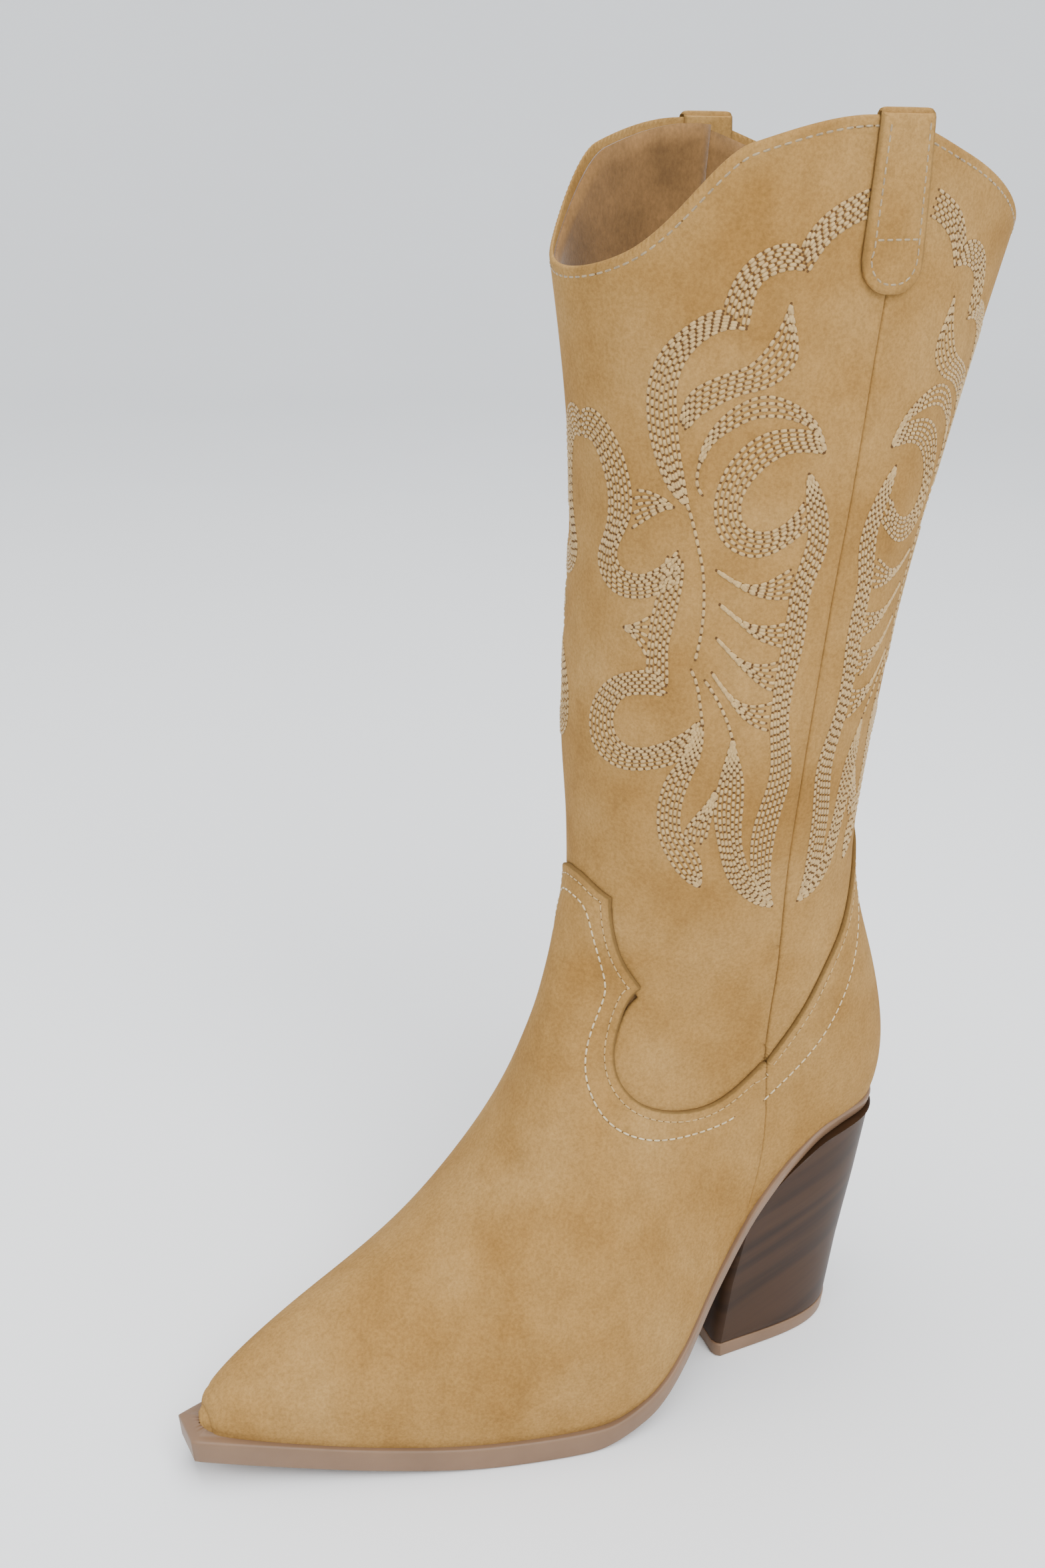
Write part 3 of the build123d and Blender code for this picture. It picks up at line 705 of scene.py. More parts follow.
def counter_outline():
    """The counter cover, from the outer seam round the back to the inner seam."""
    top = counter_edge()
    start = SEAM[-1][0]
    angle = np.linspace(start, 180, 60)
    feather = np.stack([angle, feather_station(angle)], 1)
    half = joined(feather[::-1], SEAM[::-1][1:], top[1:])
    mirrored = half[::-1] * [-1, 1] + [360, 0]
    return joined(half, mirrored[1:-1])


def channel(rows):
    """A shallow channel pulled in by stitches at each of the given distances from the edge."""
    def depth(far):
        return sum(-.22 * np.exp(-((far - row) / .9) ** 2) for row in rows)
    return depth


def topline_at(angles):
    """Stations of the topline at the given angles."""
    low, high = np.full(len(angles), 8.0), np.full(len(angles), 11.7)
    for _ in range(24):
        middle = (low + high) / 2
        point = tube(angles, middle)
        below = point[:, 2] < topline(point[:, 0])
        low, high = np.where(below, middle, low), np.where(below, high, middle)
    return np.stack([angles, (low + high) / 2], 1)


def zip_x(height):
    share = (height - ZIP_FOOT[2]) / (ZIP_HEAD[2] - ZIP_FOOT[2])
    return ZIP_FOOT[0] + share * (ZIP_HEAD[0] - ZIP_FOOT[0])


def shaft_side(side, gap):
    """The shaft's side edge from the foxing up to the topline. gap is +1 front, -1 back."""
    height = np.concatenate([np.arange(SEAM_TOP_HEIGHT - 7, 350, 6.0), np.arange(353, 411, 6.0)])
    x = seam_x(height) + gap * .03
    if side < 0:
        slot = zip_x(height) + gap * SLOT_HALF
        share = np.clip((352 - height) / 6, 0, 1)
        x = x * (1 - share) + slot * share
    return at_side(x, height, side)


LAP = 7.0                    # how far the shaft runs on under the vamp and the counter cover


def shaft_front_outline():
    outer, inner = shaft_side(1, 1), shaft_side(-1, 1)
    top = topline_at(np.linspace(outer[-1][0], inner[-1][0], 200))
    edge = EDGE[EDGE[:, 0] < outer[0][0] - 2]
    under = edge - [0, LAP / STATION_LENGTH]
    bottom = joined(other_side(under)[:-1], under)
    return joined(bottom, outer, top[1:-1], inner[::-1])


def shaft_back_outline():
    outer, inner = shaft_side(1, -1), shaft_side(-1, -1) + [360, 0]
    top = topline_at(np.linspace(outer[-1][0], inner[-1][0], 220))
    edge = counter_edge()[4:] - [0, LAP / STATION_LENGTH]
    edge = edge[edge[:, 0] > outer[0][0] + 2]
    mirrored = edge[::-1] * [-1, 1] + [360, 0]
    bottom = joined(edge, mirrored[1:])
    return joined(bottom[::-1], outer, top[1:-1], inner[::-1])


def all_round(line, middle):
    """A line of the outer side with its mirror image about the angle middle, 0 or 180."""
    mirrored = line[::-1] * [-1, 1] + [2 * middle, 0]
    return joined(mirrored[:-1], line) if middle == 0 else joined(line, mirrored[1:])


def build_panels():
    vamp_rows, top_row = channel([3.4, 11]), channel([TOP_ROW])
    panel("vamp_suede", vamp_outline(), FOXING_OUT, "vamp", vamp_rows, all_round(EDGE, 0))
    panel("counter_suede", counter_outline(), FOXING_OUT, "heel_counter_cover", channel([3.4]),
          all_round(counter_edge(), 180))
    panel("shaft_front_suede", shaft_front_outline(), SHAFT_OUT, "shaft_front", top_row, None,
          SEAM_ROUND)
    panel("shaft_back_suede", shaft_back_outline(), SHAFT_OUT, "shaft_back", top_row, None,
          SEAM_ROUND)


# --- Stitches ---------------------------------------------------------------------------
STITCH_SIDES = 5
STITCH_RINGS = ((-1.0, .25), (-.6, .9), (.6, .9), (1.0, .25))


def stitch_template():
    """One closed stitch: points along X, in half lengths and half widths, and its faces."""
    points, quads = [], []
    for along, size in STITCH_RINGS:
        for side in range(STITCH_SIDES):
            turn = 2 * math.pi * side / STITCH_SIDES + math.pi / 2
            points.append((along, size * math.cos(turn), size * math.sin(turn)))
    for ring in range(len(STITCH_RINGS) - 1):
        for side in range(STITCH_SIDES):
            a = ring * STITCH_SIDES + side
            b = ring * STITCH_SIDES + (side + 1) % STITCH_SIDES
            quads.append((a, b, b + STITCH_SIDES, a + STITCH_SIDES))
    triangles = []
    for a, b, c, d in quads:
        triangles += [(a, c, b), (a, d, c)]
    last = (len(STITCH_RINGS) - 1) * STITCH_SIDES
    for side in range(1, STITCH_SIDES - 1):
        triangles += [(0, side, side + 1), (last, last + side + 1, last + side)]
    return np.array(points), np.array(triangles)


def hole_template(sides=6):
    """A small dark disc, painted shade in a needle hole, dished in the middle."""
    ring = [(math.cos(2 * math.pi * i / sides), math.sin(2 * math.pi * i / sides), 0)
            for i in range(sides)]
    triangles = [(sides, i, (i + 1) % sides) for i in range(sides)]
    return np.array(ring + [(0, 0, -.25)]), np.array(triangles)


class Sewing:
    """Collects stitches and needle holes, then makes one mesh of them."""

    def __init__(self):
        self.ends = []
        self.holes = []

    def row(self, places, offset, pitch, wide, high, start=0.0, gap=.09):
        """Stitches along a line of (angle, station) places on the tube."""
        line = surface(places[:, 0], places[:, 1], offset)
        up = normals(places[:, 0], places[:, 1])
        self.along(line, up, pitch, wide, high, start, gap)

    def along(self, line, up, pitch, wide, high, start=0.0, gap=.09):
        length = np.concatenate([[0], np.cumsum(np.linalg.norm(np.diff(line, axis=0), axis=1))])
        total = length[-1]
        count = int((total - start) / pitch)
        if count < 1:
            return
        stretch = (total - start) / count if start == 0 else pitch
        stops = start + stretch * np.arange(count + 1)
        pick = lambda values, at: np.stack([np.interp(at, length, values[:, k]) for k in range(3)], 1)
        first, last = pick(line, stops[:-1] + gap * stretch), pick(line, stops[1:] - gap * stretch)
        middle = pick(line, (stops[:-1] + stops[1:]) / 2)
        normal = unit(pick(up, (stops[:-1] + stops[1:]) / 2))
        for a, b, m, n in zip(first, last, middle, normal):
            self.ends.append((a, b, m, n, wide, high))
        at = pick(line, stops)
        hole_up = unit(pick(up, stops))
        for p, n in zip(at, hole_up):
            self.holes.append((p, n, wide))

    def piece(self, name, materials, slot, keep=None):
        ends = self.ends if keep is None else [e for e in self.ends if keep(e[2])]
        holes = self.holes if keep is None else [h for h in self.holes if keep(h[0])]
        template, faces = stitch_template()
        a, b, m, n = (np.array([e[k] for e in ends]) for k in range(4))
        wide = np.array([e[4] for e in ends])[:, None, None]
        high = np.array([e[5] for e in ends])[:, None, None]
        half = (b - a) / 2
        side = unit(np.cross(n, half))
        bow = (1 - np.abs(template[:, 0])[None, :, None] ** 2)
        centre = (a + b)[:, None, :] / 2
        points = (centre + half[:, None, :] * template[None, :, :1]
                  + side[:, None, :] * template[None, :, 1:2] * wide
                  + n[:, None, :] * (template[None, :, 2:3] * high + bow * high * .7 - high * .25))
        all_faces = faces[None] + (np.arange(len(ends)) * len(template))[:, None, None]
        # Dark discs at the needle holes: painted shade.
        disc, disc_faces = hole_template()
        p, up = np.array([h[0] for h in holes]), np.array([h[1] for h in holes])
        size = np.array([h[2] for h in holes])[:, None, None] * .70
        right = unit(np.cross(up, np.array([.31, .52, .79])))
        ahead = np.cross(up, right)
        dots = (p[:, None, :] + right[:, None, :] * disc[None, :, :1] * size
                + ahead[:, None, :] * disc[None, :, 1:2] * size
                + up[:, None, :] * (disc[None, :, 2:3] * .12 + .07))
        start = points.shape[0] * points.shape[1]
        dot_faces = disc_faces[None] + (start + np.arange(len(holes)) * len(disc))[:, None, None]
        faces = np.vstack([all_faces.reshape(-1, 3), dot_faces.reshape(-1, 3)])
        which = np.concatenate([np.zeros(all_faces.shape[0] * all_faces.shape[1]),
                                np.ones(dot_faces.shape[0] * dot_faces.shape[1])])
        points = np.vstack([points.reshape(-1, 3), dots.reshape(-1, 3)])
        return mesh_piece(name, points, faces, materials, which=which)


# The embroidery, as bands of (one edge, other edge) pairs of (angle, height), outer front
ARCH = [
    [((84.5, 386), (84, 394)), ((80.5, 384), (79.5, 391.5)), ((76, 380), (75, 388)),
     ((73, 375), (71.5, 383.5)), ((71.5, 372), (69.5, 379))],
    [((71.5, 372), (69.5, 379)), ((66, 372.5), (64, 379.5)), ((61.5, 370), (58.5, 376)),
     ((59.5, 366), (54.5, 370.5)), ((58, 357), (51.5, 362.5))],
    [((58, 357), (51.5, 362.5)), ((51, 356.5), (45.5, 360)), ((45.5, 352.5), (39, 355)),
     ((41.5, 347), (34, 349.5)), ((39.5, 340), (30.5, 342)), ((39.5, 333), (29.5, 334)),
     ((40, 325), (30.5, 326)), ((41, 318), (33.5, 317.5)), ((42, 312), (37, 312)),
     ((42.5, 308.5), (41.5, 308.5))]]
LEAF = [((42, 329), (40, 332)), ((46, 333.5), (43, 340)), ((51, 336.5), (48, 343.5)),
        ((57, 339.5), (54, 346)), ((64, 341.5), (59.5, 349)), ((70, 347), (64, 355.5)),
        ((70, 355), (66.5, 360.5)), ((68, 364), (68, 364.2))]
CRESCENT = [((46.5, 320), (45.5, 321)), ((50, 326.5), (48, 328.5)), ((55, 330), (52, 334)),
            ((60, 332.5), (57, 338)), ((66, 333), (63.5, 340)), ((71.5, 332), (70.5, 337.5)),
            ((76.5, 329.5), (76.5, 332.5)), ((80.5, 323), (80.5, 324))]
RING = [((80, 323), (80.5, 323.5)), ((76, 323.5), (77.5, 329)), ((70, 323), (70.5, 330.5)),
        ((65, 320), (63.5, 329.5)), ((61, 315.5), (57, 325)), ((58.5, 310.5), (52, 317.5)),
        ((58.5, 306), (50, 310)), ((60, 303), (50.5, 303)), ((63.5, 301.5), (54, 297)),
        ((67.5, 301.8), (61, 293.7)), ((71, 303.5), (68, 294.5)), ((74, 306.5), (74, 298)),
        ((76, 310.5), (78.5, 301.5))]
WING = [((76.5, 317.5), (76.8, 317.5)), ((76.5, 311), (81, 312.5)), ((77.5, 305), (84, 306)),
        ((78.5, 299.5), (85.5, 299.5)), ((77.5, 293), (85, 292.5)), ((76, 286), (83, 286)),
        ((75.5, 278), (82.5, 278)), ((75.5, 268), (83, 268)), ((75, 258), (82.2, 258)),
        ((75.5, 248), (82, 248)), ((76.5, 240), (83.5, 240)), ((78.5, 231), (86.5, 231)),
        ((78.5, 222), (87.5, 222)), ((76.5, 212), (86.3, 212)), ((76, 203), (85.7, 203)),
        ((77.5, 194), (85.7, 194)), ((81, 187), (86, 187)), ((87, 179.5), (87.2, 179.5))]
SPIKES = [
    [((52, 289.8), (52, 290.1)), ((57, 286.8), (57, 287.4)), ((62, 284), (61, 286)),
     ((67, 282), (66, 286.2)), ((72, 281), (70.5, 288.5)), ((76.5, 281), (75.5, 291.5))],
    [((54, 279.8), (54, 280.1)), ((58, 276.8), (58, 277.4)), ((62, 273.8), (62, 275)),
     ((66, 270.5), (66, 274)), ((71, 268), (70.5, 274)), ((76, 266.5), (76, 275))],
    [((54, 269.8), (54, 270.1)), ((58, 266.3), (58, 266.8)), ((62, 262.5), (62, 264)),
     ((66, 259), (66, 262.6)), ((71, 255), (70.5, 262.5)), ((75.5, 253), (76, 264))],
    [((54, 259.3), (54, 259.6)), ((58, 254.8), (58, 255.4)), ((62, 250.3), (62, 252)),
     ((66, 246), (66, 250.2)), ((71, 242.5), (70.5, 250)), ((75.5, 240.5), (76, 251.5))]]
SCROLL_TOP = [((0, 323), (0, 331)), ((5, 323.5), (6, 333.3)), ((8.5, 321), (11.5, 332)),
              ((11, 316.5), (16.5, 328)), ((13, 311), (20.5, 322)), ((13.3, 306), (23, 315)),
              ((12.5, 301), (24, 307)), ((10.5, 296), (21.5, 300)), ((8, 291.5), (18.5, 295)),
              ((7.5, 288), (17.5, 291)), ((9.5, 284), (19.5, 288)), ((14, 280.5), (23.5, 287)),
              ((20, 279), (28, 287)), ((27, 279.3), (32.5, 289)), ((34, 281.5), (36.5, 292)),
              ((41.5, 286), (39.5, 295.5))]
ARM = [((23.5, 299), (24.5, 312)), ((26.5, 301), (27.5, 312.3)), ((30, 303.5), (31, 311.5)),
       ((34, 306), (34.5, 310)), ((38, 307.3), (38, 307.6))]
WING_LEFT = [((36, 293), (41.5, 293)), ((34.5, 287), (42, 286)), ((33, 281), (41, 279)),
             ((31.5, 275), (39.8, 272)), ((31, 269), (38.7, 266)), ((30.8, 263), (39.5, 259)),
             ((31, 257.5), (40, 252))]
SPIKE_LEFT = [((21, 269.8), (21, 270.1)), ((24, 268.3), (24.5, 271.3)), ((27.5, 265.5), (28, 273.3)),
              ((31, 261), (31, 276))]
SCROLL_LOW = [((40, 250.8), (38, 257.5)), ((34, 250.8), (32, 258.5)), ((28, 250), (25, 257)),
              ((24, 248.7), (18.5, 254.5)), ((21, 245.5), (13, 250.5)), ((20, 241.5), (9, 245)),
              ((21, 238), (7.5, 239)), ((24, 235), (9, 233)), ((29, 233.7), (14, 228.5)),
              ((34, 234.3), (22, 226)), ((39, 236), (30, 226)), ((44, 238.5), (38, 227.5)),
              ((49, 242), (45, 230)), ((52.8, 246.5), (51, 236))]
LEAF_A = [((50.5, 243), (53.7, 243)), ((47.5, 232), (54, 233)), ((43, 226), (52, 226)),
          ((40.5, 218), (50, 218.5)), ((40.5, 210), (49.7, 211)), ((42.5, 203.5), (52, 206)),
          ((46, 198), (56.5, 202)), ((51, 192.7), (59, 197)), ((58.5, 189), (58.7, 189.3))]
LEAF_B_LOBE = [((60.5, 222), (61.3, 222)), ((56, 215), (60.8, 215)), ((51.5, 209.5), (60.5, 209.5)),
               ((52.5, 204.5), (59.5, 204))]
LEAF_B = [((64, 239), (64.3, 239)), ((62.5, 231), (67.5, 232)), ((61, 222), (70.5, 225)),
          ((61, 214), (71.8, 216)), ((63, 206.5), (72.3, 208)), ((65.5, 199), (74, 201)),
          ((68.5, 192), (77, 194.5)), ((73, 186.5), (81, 189)), ((79, 182), (84, 184)),
          ((87, 179.5), (87.2, 179.8))]
SINGLE_ROWS = [
    [(42, 309), (44.5, 302), (46.5, 295), (48, 289), (49, 280), (49, 271), (48, 263)],
    [(46.3, 322), (45, 317), (45.5, 313), (48, 310.5)],
    [(47, 260), (50, 254.5), (52, 248), (53.5, 243)],
    [(51, 258), (56, 252.5), (60.5, 246), (64, 239)]]
BANDS = ([(band, 7) for band in ARCH] + [(LEAF, 6), (CRESCENT, 4), (RING, 6), (WING, 6)]
         + [(spike, 5) for spike in SPIKES]
         + [(SCROLL_TOP, 7), (ARM, 6), (WING_LEFT, 6), (SPIKE_LEFT, 5), (SCROLL_LOW, 7),
            (LEAF_A, 6), (LEAF_B_LOBE, 6), (LEAF_B, 7)])
ROW_PITCH, ROW_WIDE, ROW_HIGH = 2.5, .60, .38


def band_rows(band, count):
    """The rows of stitches between a band's two edges, as lines of (angle, height)."""
    edges = np.asarray(band, float)
    place = np.linspace(0, len(edges) - 1, 10 * len(edges))
    lines = [np.stack([cubic(edges[:, k, axis])(place) for axis in range(2)], 1) for k in range(2)]
    return [lines[0] + (lines[1] - lines[0]) * (row + .5) / count for row in range(count)]


def design_rows():
    rows = [smooth_line(line, 1.5) for line in SINGLE_ROWS]
    for band, count in BANDS:
        rows += band_rows(band, count)
    return rows


def mirrored_round(angle, seam):
    """The design's angle on the back panel, mirrored about the side seam."""
    return seam + (seam - angle) * (180 - seam) / seam


def seam_angle(height):
    place = np.arange(119, 410, 10.0)
    return np.interp(height, place, at_side(seam_x(place), place, 1)[:, 0])


def clear_of(outline, distance):
    """A test for points at least a distance inside a panel's outline, in 3-D."""
    line = surface(outline[:, 0], outline[:, 1], SHAFT_OUT)
    tree = KDTree(len(line))
    for index, point in enumerate(line):
        tree.insert(point, index)
    tree.balance()
    return lambda point: tree.find(point)[2] > distance


def embroider(outline, name, back):
    sewing = Sewing()
    rows = design_rows()
    for index, line in enumerate(rows):
        angle, height = line[:, 0], line[:, 1]
        if back:
            angle = mirrored_round(angle, seam_angle(height))
        station = station_at_height(angle, height)
        start = ROW_PITCH / 2 if index % 2 else 0.0
        for side in (1, -1):
            turned = angle * side if side > 0 or not back else 360 - angle
            places = np.stack([turned, station], 1)
            on_panel = np.flatnonzero(inside(flat(places), flat(outline)))
            for run in np.split(on_panel, np.flatnonzero(np.diff(on_panel) > 1) + 1):
                if len(run) > 2:
                    sewing.row(places[run], SHAFT_OUT, ROW_PITCH, ROW_WIDE, ROW_HIGH, start)
    fine = even_line(np.vstack([flat(outline), flat(outline[:1])]), .6) / [1, STATION_LENGTH]
    return sewing.piece(name, [THREAD, NEEDLE_HOLE_SHADE], "suede", clear_of(fine, 1.0))


def inset(line, depth):
    """An open (angle, station) line moved sideways over the surface by a depth."""
    after = np.vstack([line[1:], 2 * line[-1] - line[-2]])
    before = np.vstack([2 * line[0] - line[1], line[:-1]])
    here = tube(line[:, 0], line[:, 1])
    tangent = unit(tube(after[:, 0], after[:, 1]) - tube(before[:, 0], before[:, 1]))
    side = np.cross(normals(line[:, 0], line[:, 1]), tangent)
    by_angle = (tube(line[:, 0] + .2, line[:, 1]) - here) / .2
    by_station = (tube(line[:, 0], line[:, 1] + .01) - here) / .01
    moved = []
    for place, p, q, s in zip(line, by_angle, by_station, side):
        moved.append(place + depth * np.linalg.lstsq(np.stack([p, q], 1), s, rcond=None)[0])
    return np.array(moved)


def topstitching():
    """The rows along the edges of the upper's pieces."""
    sewing, pale, grey = Sewing(), Sewing(), Sewing()
    edge = smooth_line(flat(EDGE[::6]), 1.5) / [1, STATION_LENGTH]
    both = joined(other_side(edge)[:-1], edge)
    near = inset(both, -3.4)
    sewing.row(near, FOXING_OUT - .12, 2.6, .30, .22)
    row = heights(VAMP_SECOND_ROW)
    row = smooth_line(flat(row), 1.5) / [1, STATION_LENGTH]
    pale.row(joined(other_side(row)[:-1], row), FOXING_OUT - .05, 2.9, .36, .28)
    counter = counter_edge()
    counter = smooth_line(flat(counter[::6]), 1.5) / [1, STATION_LENGTH]
    mirrored = counter[::-1] * [-1, 1] + [360, 0]
    whole = joined(counter, mirrored[1:])
    sewing.row(inset(whole, -3.4), FOXING_OUT - .12, 2.6, .30, .22)
    second = smooth_line(flat(heights(COUNTER_SECOND_ROW)), 1.5) / [1, STATION_LENGTH]
    mirrored = second[::-1] * [-1, 1] + [360, 0]
    pale.row(joined(second, mirrored[1:]), FOXING_OUT - .05, 2.9, .36, .28)
    angles = np.linspace(-180, 180, 500)
    top = topline_at(angles)
    low = inset(top, -TOP_ROW)
    grey.row(low, SHAFT_OUT - .12, 3.0, .36, .26)
    sewing.piece("edge_stitching", [THREAD, NEEDLE_HOLE_SHADE], "suede")
    pale.piece("second_row_stitching", [PALE_THREAD, NEEDLE_HOLE_SHADE], "suede")
    grey.piece("topline_stitching", [GREY_THREAD, NEEDLE_HOLE_SHADE], "suede")


VAMP_SECOND_ROW = [(0, 179), (6, 178.3), (13, 175.8), (19, 169), (25, 161), (30.5, 153), (32, 146),
                   (31, 135), (34, 122), (45, 110), (58, 103), (70, 99.5), (82, 99), (89, 101)]
COUNTER_SECOND_ROW = [(93, 104), (100, 117), (110, 132), (120, 144), (130, 155), (142, 166),
                      (158, 176), (180, 181)]


# --- Lining, straps ---------------------------------------------------------------------
def grid_faces(rows, columns, closed=False):
    """Quads over a grid of points, rows by columns."""
    faces = []
    for row in range(rows - 1):
        for column in range(columns if closed else columns - 1):
            after = (column + 1) % columns
            a, b = row * columns + column, row * columns + after
            faces.append((a, b, b + columns, a + columns))
    return faces


def shell(outer, inner, closed=False):
    """Points and faces of a closed shell between two equal grids (rows, columns, 3)."""
    rows, columns = outer.shape[:2]
    count = rows * columns
    faces = grid_faces(rows, columns, closed)
    other = [tuple(i + count for i in reversed(f)) for f in faces]
    rim = []
    for column in range(columns if closed else columns - 1):
        after = (column + 1) % columns
        last = (rows - 1) * columns
        rim.append((after, column, column + count, after + count))
        rim.append((last + column, last + after, last + after + count, last + column + count))
    if not closed:
        for row in range(rows - 1):
            a, b = row * columns, (row + 1) * columns
            rim.append((a, b, b + count, a + count))
            a, b = a + columns - 1, b + columns - 1
            rim.append((b, a, a + count, b + count))
    return np.vstack([outer.reshape(-1, 3), inner.reshape(-1, 3)]), faces + other + rim


LINING_DROP = 0.009          # in stations, how far under the topline the lining ends
ZIP_ROOM, ZIP_ROOM_TOP = 3.0, 345    # degrees left open for the zip on each side, up to a height


def build_lining():
    """The leg's lining: a brushed sleeve that ends just under the topline."""
    for name, nodes, start, end in (
            ("shaft_lining_front_cloth", "shaft_lining_front", -88.0, 89.0),
            ("shaft_lining_back_cloth", "shaft_lining_back", 89.0, 266.0)):
        angles = np.linspace(start, end, 90)
        top = topline_at(angles)[:, 1] - LINING_DROP
        low = station_at_height(angles, 150.0)
        share = np.linspace(0, 1, 90)[:, None] ** .8
        station = low + (top - low) * share
        zip_end = 0 if start < 0 else -1
        height = tube(angles[zip_end], station[:, zip_end])[:, 2]
        closed = np.clip((height - ZIP_ROOM_TOP) / 6, 0, 1)[:, None]
        towards_zip = np.abs(angles - angles[-1 - zip_end]) / (end - start)
        angle = angles + np.sign(start - 1) * ZIP_ROOM * closed * towards_zip
        outer = surface(angle, station, LINING_OUT)
        wrinkle = .25 * np.sin(np.radians(angle) * 9 + station * 3) * np.sin(station * 7 + 1)
        inner = surface(angle, station, LINING_OUT - 1.1 + wrinkle)
        points, faces = shell(outer, inner)
        piece = mesh_piece(name, points, faces, [LINING])
        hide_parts(nodes)


FOOTBED_LAYERS = (            # (piece, node, its foot and its top above the sole's top)
    ("insole_board_sheet", "insole_board", 0, 2.0), ("sock_sheet", "sock_lining", 2.0, 4.5))
FOOTBED_OUT = -3.5           # the footbed's edge, as an offset from the tube


def footbed_outline(lift):
    """The footbed's outer edge, seen from above, from the heel's back to the toe."""
    seam_angle, seam_station = SEAM[-1]
    round_heel = np.linspace(180, seam_angle, 60)
    heel = surface(round_heel, feather_station(round_heel, -lift, FOOTBED_OUT), FOOTBED_OUT)
    station = np.linspace(seam_station, .4, 60)
    sides = surface(feather_angle(station, -lift, FOOTBED_OUT), station, FOOTBED_OUT)
    line = np.vstack([heel, sides])[:, :2]
    return line[np.argsort(line[:, 0], kind="stable")]


def build_footbed():
    """The insole board and the sock on it, cut to the inside of the lining."""
    for name, node, low, high in FOOTBED_LAYERS:
        edge = footbed_outline((low + high) / 2)
        share = np.linspace(0, 1, 120)
        share = share ** 2 * (3 - 2 * share)
        x = edge[0, 0] + share * (edge[-1, 0] - edge[0, 0])
        half = np.maximum(np.interp(x, edge[:, 0], edge[:, 1]), .4)
        across = np.array([-1, -.985, -.95, *np.linspace(-.85, .85, 13), .95, .985, 1])
        spot_x = np.broadcast_to(x[:, None], (len(x), len(across)))
        spot_y = half[:, None] * across
        rounding = .6 * np.clip((np.abs(across) - .9) / .1, 0, 1) ** 2
        floor = sole_top(spot_x)
        top = np.stack([spot_x, spot_y, floor + high - rounding], 2)
        under = np.stack([spot_x, spot_y, floor + low + 0 * spot_y], 2)
        points, faces = shell(top[:, ::-1], under[:, ::-1])
        material = LINING if node == "sock_lining" else BOARD
        piece = mesh_piece(name, points, faces, [material])
        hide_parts(node)


STRAP_BACK, STRAP_FRONT = 39, 60.5
STRAP_FOOT, STRAP_FOOT_INSIDE, STRAP_TOP, STRAP_CORNER = 366, 402, 414.5, 9.5
STRAP_THICK = 1.5
STRAP_MIDDLE, STRAP_BEND = 0.35, 1.15    # offset of its middle layer, and its fold's radius
STRAP_TAPER = 3.5            # how much narrower it is at the top


def strap_path():
    """The strap's middle line seen edge on, as (height, offset), from foot to foot."""
    bend_low = STRAP_TOP - STRAP_BEND - STRAP_THICK / 2
    bend = [(bend_low + STRAP_BEND * math.sin(a), STRAP_MIDDLE - STRAP_BEND * (1 - math.cos(a)))
            for a in np.linspace(0, math.pi, 13)]
    outside = [(h, STRAP_MIDDLE) for h in np.arange(STRAP_FOOT, bend_low - 1, 1.5)]
    inside_leg = [(h, STRAP_MIDDLE - 2 * STRAP_BEND)
                  for h in np.arange(bend_low - 2, STRAP_FOOT_INSIDE, -1.5)]
    return np.array(outside + bend + inside_leg)


def build_strap(name, node, side):
    path = strap_path()
    centre_x, half = (STRAP_BACK + STRAP_FRONT) / 2, (STRAP_FRONT - STRAP_BACK) / 2
    foot_length = np.concatenate([[0], np.cumsum(np.linalg.norm(np.diff(path, axis=0), axis=1))])
    columns = np.concatenate([[-1, -.96, -.88], np.linspace(-.76, .76, 15), [.88, .96, 1]])
    start = foot_length[:, None] + 0 * columns
    grid_x = centre_x + half * np.broadcast_to(columns, start.shape)
    grid_x = grid_x - STRAP_TAPER * np.clip(path[:, :1] - STRAP_FOOT, 0, 50) / 50 * (columns + 1) / 2
    corner_in = np.maximum(np.abs(columns) * half - (half - STRAP_CORNER), 0)
    foot_rise = STRAP_CORNER - np.sqrt(np.maximum(STRAP_CORNER ** 2 - corner_in ** 2, 0))
    total = foot_length[-1]
    share = start / total
    length = foot_rise + share * (total - foot_rise)
    height = np.interp(length, foot_length, path[:, 0])
    offset = np.interp(length, foot_length, path[:, 1])
    anchor = at_side(np.linspace(STRAP_BACK, STRAP_FRONT, 9), 395.0, 1)
    low_anchor = at_side(np.linspace(STRAP_BACK, STRAP_FRONT, 9), 366.0, 1)
    angle_high = np.interp(grid_x, np.linspace(STRAP_BACK, STRAP_FRONT, 9), anchor[:, 0])
    angle_low = np.interp(grid_x, np.linspace(STRAP_BACK, STRAP_FRONT, 9), low_anchor[:, 0])
    blend = (height - 366) / (395 - 366)
    angle = (angle_low + (angle_high - angle_low) * blend)
    slope = np.gradient(path, axis=0)
    facing = unit(np.stack([-slope[:, 1], slope[:, 0]], 1))
    out_high = np.interp(length, foot_length, -facing[:, 0])
    out_off = np.interp(length, foot_length, facing[:, 1])
    round_edge = 1 - np.abs(columns) ** 14
    thick = STRAP_THICK / 2 * (.35 + .65 * round_edge)
    signed = angle * side
    sheets = []
    for face in (1, -1):
        lifted = offset + face * thick * out_off
        raised = height + face * thick * out_high
        placed = station_at_height(angle, raised)
        sheets.append(surface(signed, placed, lifted))
    sheets = sheets if side > 0 else [s[:, ::-1] for s in sheets]
    points, faces = shell(sheets[0], sheets[1])
    # The strap's long edges are darker: partly the raw edge's own tone, partly painted shade.
    piece = mesh_piece(name, points, faces, [SUEDE],
                       edge=np.tile((np.abs(columns) > .93).astype(float) * .6, 2 * len(path)))
    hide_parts(node)
    return angle, side


